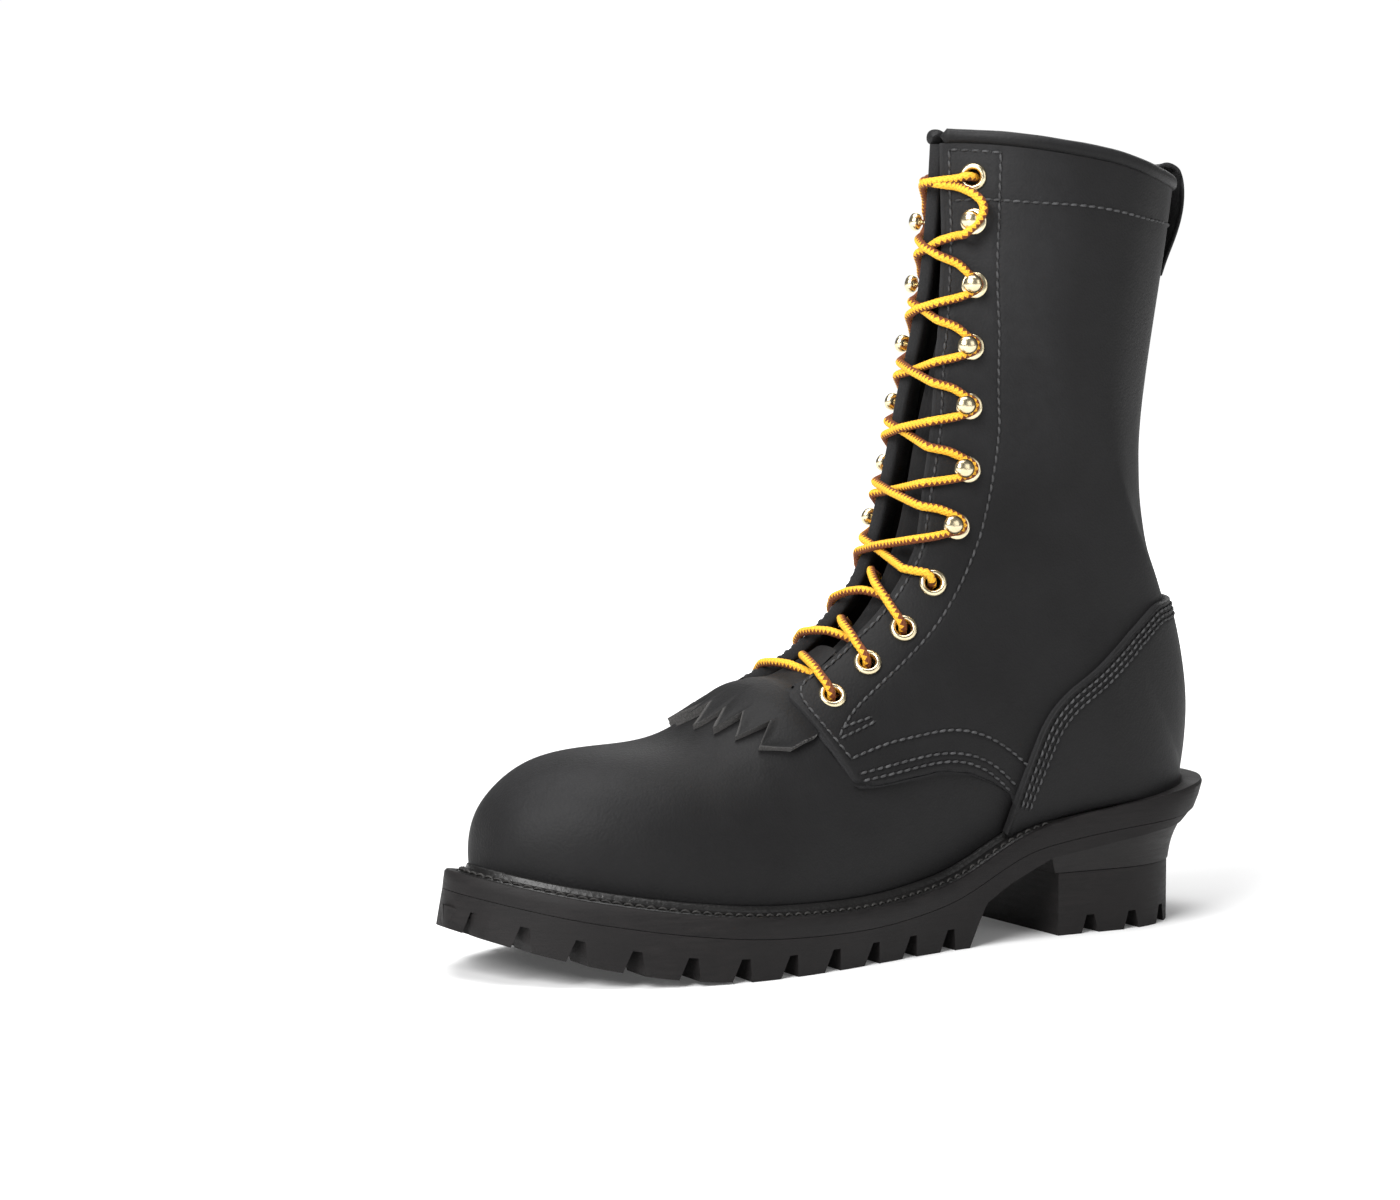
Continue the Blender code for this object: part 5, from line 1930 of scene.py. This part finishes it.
    @staticmethod
    def refine(edges: dict[int, Notches], step: float) -> dict[int, Notches]:
        """Rows of both sides with more of them between two of the same flag.

        Args:
            edges: Shares and flags of each side.
            step: Largest step of share.

        Returns:
            Refined rows of each side, as many on both.
        """
        fine = {sign: [rows[0]] for sign, rows in edges.items()}
        for i in range(1, len(edges[1])):
            (a, flag), (b, following) = edges[1][i - 1:i + 1]
            extra = int((b - a) / step) if flag == following else 0
            for sign, rows in edges.items():
                start, end = rows[i - 1][0], rows[i][0]
                fine[sign].extend((start + (end - start) * (m + 1) / (extra + 1), flag) for m in range(extra))
                fine[sign].append(rows[i])
        return fine

    @staticmethod
    def mirrored(*half: tuple[float, float, Reach]) -> tuple[tuple[float, float, Reach], ...]:
        """Lines along one half of the tread, then the same ones on the other half."""
        return half + tuple((1 - part, -depth, reach) for part, depth, reach in reversed(half))

    def tread(
            self, name: str, edges: dict[int, Notches], insets: Pairs,
            columns: tuple[tuple[float, float, Reach], ...], top: Level, low: Level, floor: Level,
            finish: Finish) -> bpy.types.Object:
        """Layer with a lugged underside.

        Args:
            name: Name of the piece.
            edges: Shares and flags of each side.
            insets: Distances drawn in from the sole's edge at the foot and at the top.
            columns: Share across, depth from the edge and which rows reach down.
            top: Height of the upper face.
            low: Height of the lugs.
            floor: Height between the lugs.
            finish: Its finish.

        Returns:
            The piece.
        """
        sides = []
        for drawn in insets:
            for sign in (1, -1):
                x, middle, half = LAST.outline(np.array([share for share, _ in edges[sign]]), *drawn)
                sides.append(np.stack([x, middle + sign * half], -1))
        lug = np.array([flag for _, flag in edges[1]])
        left, right, top_left, top_right = sides
        wide = np.maximum(np.linalg.norm(left - right, axis=1), 1e-9)
        grid = np.zeros((len(lug), len(columns) + 2, 3))
        for j, (part, depth, reach) in enumerate(columns):
            across = part + np.minimum(abs(depth) / wide, 0.24) * (1 if depth >= 0 else -1)
            place = left + across[:, None] * (right - left)
            by_lug = (reach is Reach.LUG) | (wide < 1e-6)
            down = np.where(by_lug, lug > 0, reach is Reach.LOW)
            z = np.where(down, low(place[:, 0]), floor(place[:, 0]))
            grid[:, j + 1] = np.column_stack([place, z])
        ahead = np.cumsum(lug) > 0
        for rim, foot, side in ((0, 1, top_left), (-1, -2, top_right)):
            level = np.broadcast_to(top(side[:, 0]), len(side))
            edge = grid[:, foot]
            far = np.where(ahead, np.clip((level - edge[:, 2]) / (level - low(edge[:, 0])), 0, 1), 1.0)
            grid[:, foot, :2] = side + far[:, None] * (edge[:, :2] - side)
            grid[:, rim] = np.column_stack([side, level])
        sheets = Sheets()
        sheets.grid(grid, loop=True)
        count = grid.shape[1]
        for i in (0, len(lug) - 1):
            sheets.add(grid[i], [tuple(range(count))])
        piece = sheets.build(name, finish, sharp=32)
        bevel = piece.modifiers.new("soft_edges", "BEVEL")
        bevel.width = 0.0005
        bevel.segments = 2
        bevel.limit_method = "ANGLE"
        bevel.angle_limit = math.radians(38)
        return piece

    def outsole(self) -> None:
        """Rubber sole with edge lugs and cross bars under the forefoot."""
        plain = [(float(share), 0) for share in np.concatenate([
            LAST.heel_round * (1 - np.cos(np.linspace(0, np.pi / 2, 26))), np.linspace(0.15, 0.365, 23)])]
        plain.append((self.lug_begin, 1))
        tip = [(float(share), 1) for share in 1 - 0.0015 * np.linspace(1, 0, 7) ** 2]
        notches = (self.lug_start, tip[0][0], self.lug_notches)
        fine = self.refine({
            sign: plain + self.notch_rows(*notches, sign, self.lug_phase) + tip
            for sign in (1, -1)}, 0.006)
        columns = self.mirrored(
            (0.0, 0.0, Reach.LUG),
            (0.0, self.lug_depth, Reach.LUG),
            (0.0, self.lug_depth + self.lug_slope, Reach.FLOOR),
            (self.bar_edge - self.bar_slope, 0.0, Reach.FLOOR),
            (self.bar_edge, 0.0, Reach.LUG),
        )
        piece = self.tread(
            "outsole_tread", fine, ((0.0, 0.0062, 0.0), (0.0, 0.0025, 0.0026)), columns,
            lambda x: self.mid_bottom(x) - GAP, LAST.spring, LAST.tread_floor, SOLE_RUBBER)
        settle(piece, "sole_rubber", "outsole")

    def heel(self) -> None:
        """Heel block drawn in at the back, and the lugged top lift under it."""
        curve = Curve(HEEL_CURVE, "drop")
        rings = []
        for drop in np.linspace(0, 1, 14):
            side, back = float(curve.at("side", drop)), float(curve.at("back", drop))
            breast = self.breast_top + drop * (self.breast_middle - self.breast_top)

            def height(x: Array, share: Array, drop: float = drop) -> Array:
                """Level between outsole and top lift."""
                return (1 - drop) * (LAST.tread_floor(x) - GAP) + drop * self.split
            rings.append(self.ring(side, back, side, height, end=LAST.share_of(breast, side, back)))
        settle(self.stack("heel_block", rings, HEEL_RUBBER), "sole_rubber", "heel_stack")
        insets = (self.lift_side, self.lift_back)
        end = LAST.share_of(self.breast_low, *insets)
        start = [(float(share), 1) for share in 0.02 * (1 - np.cos(np.linspace(0, np.pi / 2, 12)))]
        notches = (0.02, end, self.heel_notches)
        edges = self.refine({
            sign: start + self.notch_rows(*notches, sign, self.heel_phase, insets) + [(end, 1)]
            for sign in (1, -1)}, 0.008)
        columns = self.mirrored(
            (0.0, 0.0, Reach.LUG),
            (0.0, self.heel_notch_depth, Reach.LUG),
            (0.0, self.heel_notch_depth + self.lug_slope, Reach.LOW),
        )
        piece = self.tread(
            "top_lift", edges, (insets, insets), columns, lambda x: self.split - GAP, lambda x: 0.0 * x,
            lambda x: self.heel_lug + 0.0 * x, SOLE_RUBBER)
        settle(piece, "sole_rubber", "heel_toplift")

    def build(self) -> None:
        """Make every layer."""
        self.welt_piece()
        self.insole()
        self.midsole()
        self.outsole()
        self.heel()


@dataclass
class Hardware:
    """Brass eyelets and ball-headed hooks."""

    lap: float = 0.0014
    count: int = 40
    lean: Pairs = ((9.8, 10.6, 11.4, 12.3), (0.45, 0.35, 0.25, 0.0))
    lean_start: float = 0.0015
    eyelet: Pairs = (
        (0.0030, -0.0042), (0.0029, -0.0010), (0.0029, 0.0005), (0.0031, 0.0010), (0.0035, 0.0014),
        (0.0040, 0.0015), (0.0045, 0.0013), (0.0050, 0.0008), (0.0052, 0.0003), (0.0052, 0.0000),
        (0.0046, -0.0002))
    hook: Pairs = (
        (0.0046, -0.0002), (0.0050, 0.0002), (0.0049, 0.0006), (0.0043, 0.0009), (0.0030, 0.0010),
        (0.0013, 0.0012), (0.0009, 0.0018), (0.0009, 0.0039), (0.0014, 0.0043), (0.0025, 0.0046),
        (0.0032, 0.0052), (0.0035, 0.0061), (0.0034, 0.0070), (0.0030, 0.0079), (0.0022, 0.0085),
        (0.0011, 0.0089), (0.00001, 0.0090))

    def turned(self, sheets: Sheets, s: float, side: Side, profile: Pairs) -> None:
        """Add a turned piece on the quarter; a tall one leans to the toe above its base.

        Args:
            sheets: Mesh that takes it.
            s: Section it stands at.
            side: Side of the boot.
            profile: Rows of radius and height.
        """
        k = LAST.row_k(s)
        origin = LAST.skin(s, k, side, self.lap)
        axis = LAST.normal(s, k, side)
        across = unit(np.cross(axis, (0.0, 0.0, 1.0)))
        up = np.cross(across, axis)
        toe = unit(np.array((1.0, 0.0, 0.0)) - axis * axis[0])
        turn = 2 * np.pi * np.arange(self.count) / self.count
        spokes = np.cos(turn)[:, None] * across + np.sin(turn)[:, None] * up
        lean = np.interp(s, *self.lean)
        points = [
            origin + radius * spokes + high * axis + lean * max(0.0, high - self.lean_start) * toe
            for radius, high in profile]
        sheets.grid(np.stack(points), loop=True)

    def build(self) -> None:
        """Make eyelets and hooks."""
        for name, profile, places in (
                ("eyelet", self.eyelet, (*EYELET_SECTIONS, TOP_EYELET)), ("hook", self.hook, HOOK_SECTIONS)):
            sheets = Sheets()
            nodes = []
            for word, side in (("lateral", Side.OUTER), ("medial", Side.INNER)):
                for number, s in enumerate(places, 1):
                    self.turned(sheets, s, side, profile)
                    nodes.append(f"{name}_{word}_{number}")
            settle(sheets.build(f"brass_{name}s", BRASS, sharp=60), "brass", *nodes)


@dataclass
class Lacing:
    """Lace from the bottom bar through the eyelets, round the hooks and into the top eyelets."""

    radius: float = 0.00165
    lap: float = 0.0014
    under: float = -0.0054
    wrap: tuple[float, float] = (0.0028, 0.0028)
    bow: tuple[float, float] = (0.0044, 0.0072)
    squeeze: float = 0.36
    to_far: float = 0.80
    to_near: float = 0.50
    to_top: float = 0.20
    hook_reach: float = 0.0030
    bow_reach: float = 0.0098
    arch: float = 0.0010
    around: int = 16
    step: float = 0.0005
    soft: float = 0.0013
    cross: float = 0.0018
    near_way: Pairs = (
        (0.17, 1.0, 0.0), (0.30, 0.5, -0.0020), (0.46, 0.0, -0.0050), (0.60, -0.5, -0.0076),
        (0.74, -1.0, -0.0085), (0.90, -1.5, -0.0089))
    far_way: Pairs = (
        (0.03, 1.0, 0.0), (0.06, 0.5, -0.0028), (0.12, 0.0, -0.0048), (0.19, -0.5, -0.0068),
        (0.27, -1.0, -0.0085), (0.65, -1.5, -0.0089))

    @property
    def over(self) -> float:
        """Lift of a lace that lies on the leather."""
        return self.lap + self.radius

    def spot(self, s: float, share: float, side: Side, lift: float) -> Array:
        """One point of the lace's path.

        Args:
            s: Section.
            share: 0 on the ridge, 1 on the throat's edge, 2 on the row of eyelets; below 0 on the other side.
            side: Side from which the share counts.
            lift: Distance off the skin.

        Returns:
            The point.
        """
        k = np.interp(abs(share), (0, 1, 2), (0.0, float(LAST.throat_k(s)), float(LAST.row_k(s))))
        whose = side if share >= 0 else side.other
        return LAST.skin(np.array(s), k, whose, np.array(lift))

    def through(self, s: float, side: Side) -> list[Array]:
        """Marks up through an eyelet from inside."""
        lifts = ((0.00, 2.0, self.under - 0.0002), (0.00, 2.0, -0.0012), (0.01, 1.95, self.lap + 0.0010))
        return [self.spot(s + more, share, side, lift) for more, share, lift in lifts]

    def crossing(self, i: int, side: Side) -> list[Array]:
        """Marks from an eyelet over its edge, across the throat and under the other edge.

        Args:
            i: Number of the eyelet, from 0.
            side: Side it starts on.

        Returns:
            Marks.
        """
        low, high = EYELET_SECTIONS[i:i + 2]
        way = self.near_way if side is Side.OUTER else self.far_way
        marks = [self.spot(low + 0.02, 1.7, side, self.over + 0.0012)]
        marks.append(self.spot(low + 0.5 * way[0][0] * (high - low), 1.4, side, self.over + 0.0003))
        for part, share, drop in way:
            marks.append(self.spot(low + part * (high - low), share, side, self.over + drop))
        return marks

    def round_hook(self, s: float, side: Side, bowed: bool) -> list[Array]:
        """Marks of a lace coming up to a hook, round its far side and off over its top.

        Args:
            s: Section of the hook.
            side: Side of the boot.
            bowed: Whether the lace bows before the head instead of lying round the neck.

        Returns:
            Marks.
        """
        reach, lift = self.bow if bowed else self.wrap
        place = self.spot(s, 2.0, side, self.lap + lift)
        low, high = (LAST.surface(s + step, LAST.row_k(s + step), side) for step in (-0.05, 0.05))
        up = unit(high - low)
        away = np.cross(up, LAST.normal(s, float(LAST.row_k(s)), side))
        away = away * np.sign(away[1] * side.value)
        ways = ((-1.15, -0.35), (-0.85, 0.55), (0.0, 1.05), (0.85, 0.55), (1.15, -0.35))
        if bowed:
            ways = ((-1.3, -0.5), (-0.35, 0.6), (0.7, 1.25), (1.6, 1.0), (2.3, 0.1))
        return [place + reach * (a * up + b * away) for a, b in ways]

    def level(self, height: float, share: float, side: Side, lift: float) -> Array:
        """Point at a height on the line of one share.

        Args:
            height: Height over the floor.
            share: 1 on the throat's edge, 2 on the row of eyelets.
            side: Side of the boot.
            lift: Distance off the skin.

        Returns:
            The point.
        """
        s = np.linspace(7.6, TOP, 200)
        edge, row = LAST.throat_k(s), LAST.row_k(s)
        rises = LAST.skin(s, edge + (share - 1) * (row - edge), side, lift)[:, 2]
        return self.spot(float(np.interp(height, rises, s)), share, side, lift)

    def span(self, start: float, end: float, side: Side, sign: float, leave: float) -> list[Array]:
        """Marks of a taut run from one side's row to the other's, bent over the far edge of the throat.

        Args:
            start: Section it leaves.
            end: Section it goes to.
            side: Side it leaves.
            sign: +1 where it passes over the other strand, -1 where under.
            leave: Height over the row at which it leaves.

        Returns:
            Marks.
        """
        outward = side is Side.OUTER
        places = ((start, side), (end, side.other))
        rises = [self.spot(s, 2.0, whose, self.over)[2] for s, whose in places]
        last = end == TOP_EYELET
        rises[0] += leave
        rises[1] -= 0.0 if last else self.hook_reach
        low, high = rises if outward else rises[::-1]
        share = self.to_far if outward else self.to_top if last else self.to_near
        drop = share * (high - low)
        middle = 0.5 * (start + end)
        gap, row = (straight(THROAT, name, middle) for name in ("gap", "row"))
        slant = 1.35 * (row - gap)
        arch = self.arch if outward else 0.0
        edge = low + drop * slant / (slant + 2 * gap) + arch
        marks = [
            self.level(0.5 * (low + edge) + arch, 1.5, Side.OUTER, self.over + 0.0004),
            self.level(edge, 1.0, Side.OUTER, self.over + 0.0004),
            self.level(low + drop, 1.0, Side.INNER, self.over - 0.0002),
            self.level(low + drop + 0.5 * (high - low - drop), 1.5, Side.INNER, self.over + 0.0002),
        ]
        out = LAST.normal(np.array(middle), np.array(0.0), side)
        marks.insert(2, 0.44 * marks[1] + 0.56 * marks[2] + self.cross * max(sign, -0.5) * out)
        return marks if outward else marks[::-1]

    def route(self, first: Side) -> Array:
        """Marks of one strand from the middle of the bar to a top eyelet.

        Args:
            first: Side of the lowest eyelet it leaves.

        Returns:
            Marks.
        """
        bar = ((0.0, -0.0078), (0.5, -0.0076), (1.0, -0.0062), (1.6, self.under))
        marks = [self.spot(EYELET_SECTIONS[0], share, first, lift) for share, lift in bar]
        side = first
        for i, s in enumerate(EYELET_SECTIONS[:-1]):
            marks += self.through(s, side) + self.crossing(i, side)
            side = side.other
        s = EYELET_SECTIONS[-1]
        marks += self.through(s, side)
        marks.append(self.spot(s + 0.03, 1.75, side, self.over + 0.0010))
        leave = 0.0008
        for number, place in enumerate((*HOOK_SECTIONS, TOP_EYELET)):
            sign = 1.0 if (number % 2 == 0) == (side is Side.INNER) else -1.0
            marks += self.span(s, place, side, sign, leave)
            side, s, leave = side.other, place, self.hook_reach
            if place == TOP_EYELET:
                end = ((1.8, self.over + 0.0008), (1.96, self.lap + 0.0012), (2.0, -0.0012), (2.0, -0.0085))
                marks += [self.spot(s, share, side, lift) for share, lift in end]
            else:
                bowed = number == len(HOOK_SECTIONS) - 1 and side is Side.OUTER
                marks += self.round_hook(s, side, bowed)
                leave = self.bow_reach if bowed else leave
        return np.array(marks)

    def path(self, first: Side) -> tuple[Array, Array]:
        """Evenly spaced points of one strand, taut between its marks and rounded at them.

        Args:
            first: Side of the lowest eyelet it leaves.

        Returns:
            Points and their distance along the strand.
        """
        marks = self.route(first)
        run = lengths(marks)
        fine = np.arange(0, run[-1], self.step / 2)
        reach = int(3 * self.soft / (self.step / 2))
        kernel = bell(reach, 2 * self.soft / self.step)
        padded = np.pad(follow(fine, run, marks), ((reach, reach), (0, 0)), mode="edge")
        columns = [np.convolve(column, kernel / kernel.sum(), mode="valid") for column in padded.T]
        soft = np.stack(columns, -1)
        run = lengths(soft)
        even = np.arange(0, run[-1], self.step)
        return follow(even, run, soft), even

    def frames(self, path: Array) -> tuple[Array, Array, Array]:
        """Directions across the lace, without twist, and the turn that brings its brown flank to its right.

        Args:
            path: Points of the lace.

        Returns:
            Two directions across and the turn at each point.
        """
        way = unit(np.gradient(path, axis=0))
        across = np.zeros_like(path)
        current = unit(np.cross(way[0], (0.3, 0.2, 0.93)))
        for i, direction in enumerate(way):
            current = unit(current - direction * (current @ direction))
            across[i] = current
        up = np.cross(way, across)
        high = path[:, 2]
        below = high - 0.045 * (1 - ease(0.12, 0.19, high))
        inner = np.stack([np.full_like(high, -0.065), np.full_like(high, 0.002), below], -1)
        aim = np.cross(way, unit(path - inner))
        turned = (across * aim).sum(-1) + 1j * (up * aim).sum(-1)
        return across, up, np.angle(np.convolve(turned, bell(60, 16.0), mode="same"))

    def strand(self, name: str, first: Side, *nodes: str) -> float:
        """One strand as a plaited round cord.

        Args:
            name: Name of the piece.
            first: Side of the lowest eyelet it leaves.
            nodes: Solids it stands for.

        Returns:
            Length of the strand.
        """
        path, even = self.path(first)
        across, up, turned = self.frames(path)
        around = np.arange(self.around + 1) / self.around
        angle = 2 * np.pi * (around - 0.5) + turned[:, None]
        turns = even[:, None] / PLAIT_PITCH
        wind = 6 * around
        plait = np.maximum(np.abs((turns + wind) % 1 - 0.5), np.abs((turns - wind) % 1 - 0.5)) * 2
        lift = self.lap + self.wrap[1]
        necks = np.array([self.spot(s, 2.0, side, lift) for s in HOOK_SECTIONS for side in Side])
        slim = 1 - self.squeeze * np.exp(-(distance_to(path, necks, 0.02) / 0.0042) ** 2)
        radius = self.radius * slim[:, None] * (0.94 + 0.11 * (1 - plait))
        ring = np.cos(angle)[..., None] * across[:, None] + np.sin(angle)[..., None] * up[:, None]
        points = path[:, None] + radius[..., None] * ring
        sheets = Sheets()
        sheets.grid(points, along=even[:, None], around=around)
        settle(sheets.build(name, LACE, weld=1e-9), "lace", *nodes)
        return float(even[-1])

    def build(self) -> None:
        """Make both strands."""
        total = 0.0
        for first, letters in ((Side.OUTER, "aba"), (Side.INNER, "bab")):
            nodes = [f"lace_cross_{number}_{letter}" for number, letter in enumerate(letters, 1)]
            nodes.append(f"lace_upper_{letters[1]}")
            total += self.strand(f"lace_from_{first.name.lower()}", first, "lace_bar", *nodes)
        LOG.info("lace in sight and inside: %.2f m", total)


@dataclass
class Studio:
    """Pale floor, soft lights and the camera of the photograph."""

    turn: float = math.radians(30)
    reach: float = 1.30
    aside: float = 0.050
    height: float = 0.2345
    pitch: float = math.radians(4.69)
    lens: float = 90.3
    sensor: float = 36.0
    floor_size: float = 9.0
    plain_reach: float = 0.26
    white_reach: float = 1.5
    # Least glow of the floor: painted light that lightens the boot's shadow.
    glow: float = 0.07
    sky_seen: float = 1.02
    sky_light: float = 0.17
    aim: Colour = (0.0, 0.0, 0.12)

    def camera(self) -> None:
        """Camera at the photograph's angle."""
        toward = Vector((math.sin(self.turn), math.cos(self.turn), 0.0))
        right = Vector((-math.cos(self.turn), math.sin(self.turn), 0.0))
        forward = (-toward * math.cos(self.pitch) + Vector((0.0, 0.0, -math.sin(self.pitch)))).normalized()
        up = right.cross(forward)
        data = bpy.data.cameras.new("camera")
        data.lens = self.lens
        data.sensor_width = self.sensor
        data.clip_start = 0.05
        data.clip_end = 60
        made = bpy.data.objects.new("camera", data)
        place = toward * self.reach - right * self.aside + Vector((0.0, 0.0, self.height))
        axes = Matrix((right, up, -forward)).transposed().to_4x4()
        made.matrix_world = Matrix.Translation(place) @ axes
        bpy.context.scene.collection.objects.link(made)
        bpy.context.scene.camera = made

    def light(self, name: str, place: Colour, size: float, power: float) -> None:
        """Soft square light.

        Args:
            name: Name of the light.
            place: Where it hangs.
            size: Length of its side.
            power: Power in watts.
        """
        data = bpy.data.lights.new(name, "AREA")
        data.energy = power
        data.size = size
        made = bpy.data.objects.new(name, data)
        made.location = place
        made.rotation_mode = "QUATERNION"
        made.rotation_quaternion = (Vector(self.aim) - Vector(place)).to_track_quat("-Z", "Y")
        bpy.context.scene.collection.objects.link(made)

    def floor(self) -> None:
        """Large pale floor, painted with the share of its emission glow: faint by the boot, white far away.
        """
        sheets = Sheets()
        rays = np.linspace(0, 2 * np.pi, 49)
        reach = np.concatenate([[0.0], np.geomspace(0.1, self.floor_size, 40)])
        points = np.stack(np.broadcast_arrays(
            reach[:, None] * np.cos(rays), reach[:, None] * np.sin(rays), 0.0), -1)
        far = np.maximum(ease(self.plain_reach, self.white_reach, reach), self.glow)
        sheets.grid(points, far=far[:, None])
        sheets.build("studio_floor", FLOOR)

    def sky(self) -> None:
        """White surroundings, dimmer as light than to the eye."""
        world = bpy.data.worlds.new("studio")
        world.use_nodes = True
        kit = Tree(world.node_tree)
        back = world.node_tree.nodes["Background"]
        back.inputs["Color"].default_value = (1.0, 1.0, 1.0, 1.0)
        seen = kit.node("ShaderNodeLightPath").outputs["Is Camera Ray"]
        strength = kit.maths("MULTIPLY_ADD", seen, self.sky_seen - self.sky_light, self.sky_light)
        kit.feed(back.inputs["Strength"], strength)
        bpy.context.scene.world = world

    def build(self) -> None:
        """Set up floor, lights, sky and camera."""
        bpy.context.scene.view_settings.view_transform = "Standard"
        self.floor()
        self.camera()
        self.sky()
        self.light("key", (1.60, 0.75, 1.30), 1.1, 58.0)
        self.light("top", (0.2, -0.1, 2.1), 1.5, 42.0)
        self.light("fill", (-0.9, 2.0, 1.0), 1.4, 9.0)
        self.light("back", (-1.4, -1.4, 1.2), 1.2, 12.0)


def main() -> None:
    """Build the boot's pieces in order."""
    logging.basicConfig(level=logging.INFO, format="%(name)s: %(message)s")
    for assembly in (Studio(), Upper(), HeelPocket(), Collar(), Throat(), Sole(), Hardware(), Lacing()):
        LOG.info("making %s", type(assembly).__name__)
        assembly.build()


if __name__ == "__main__":
    main()
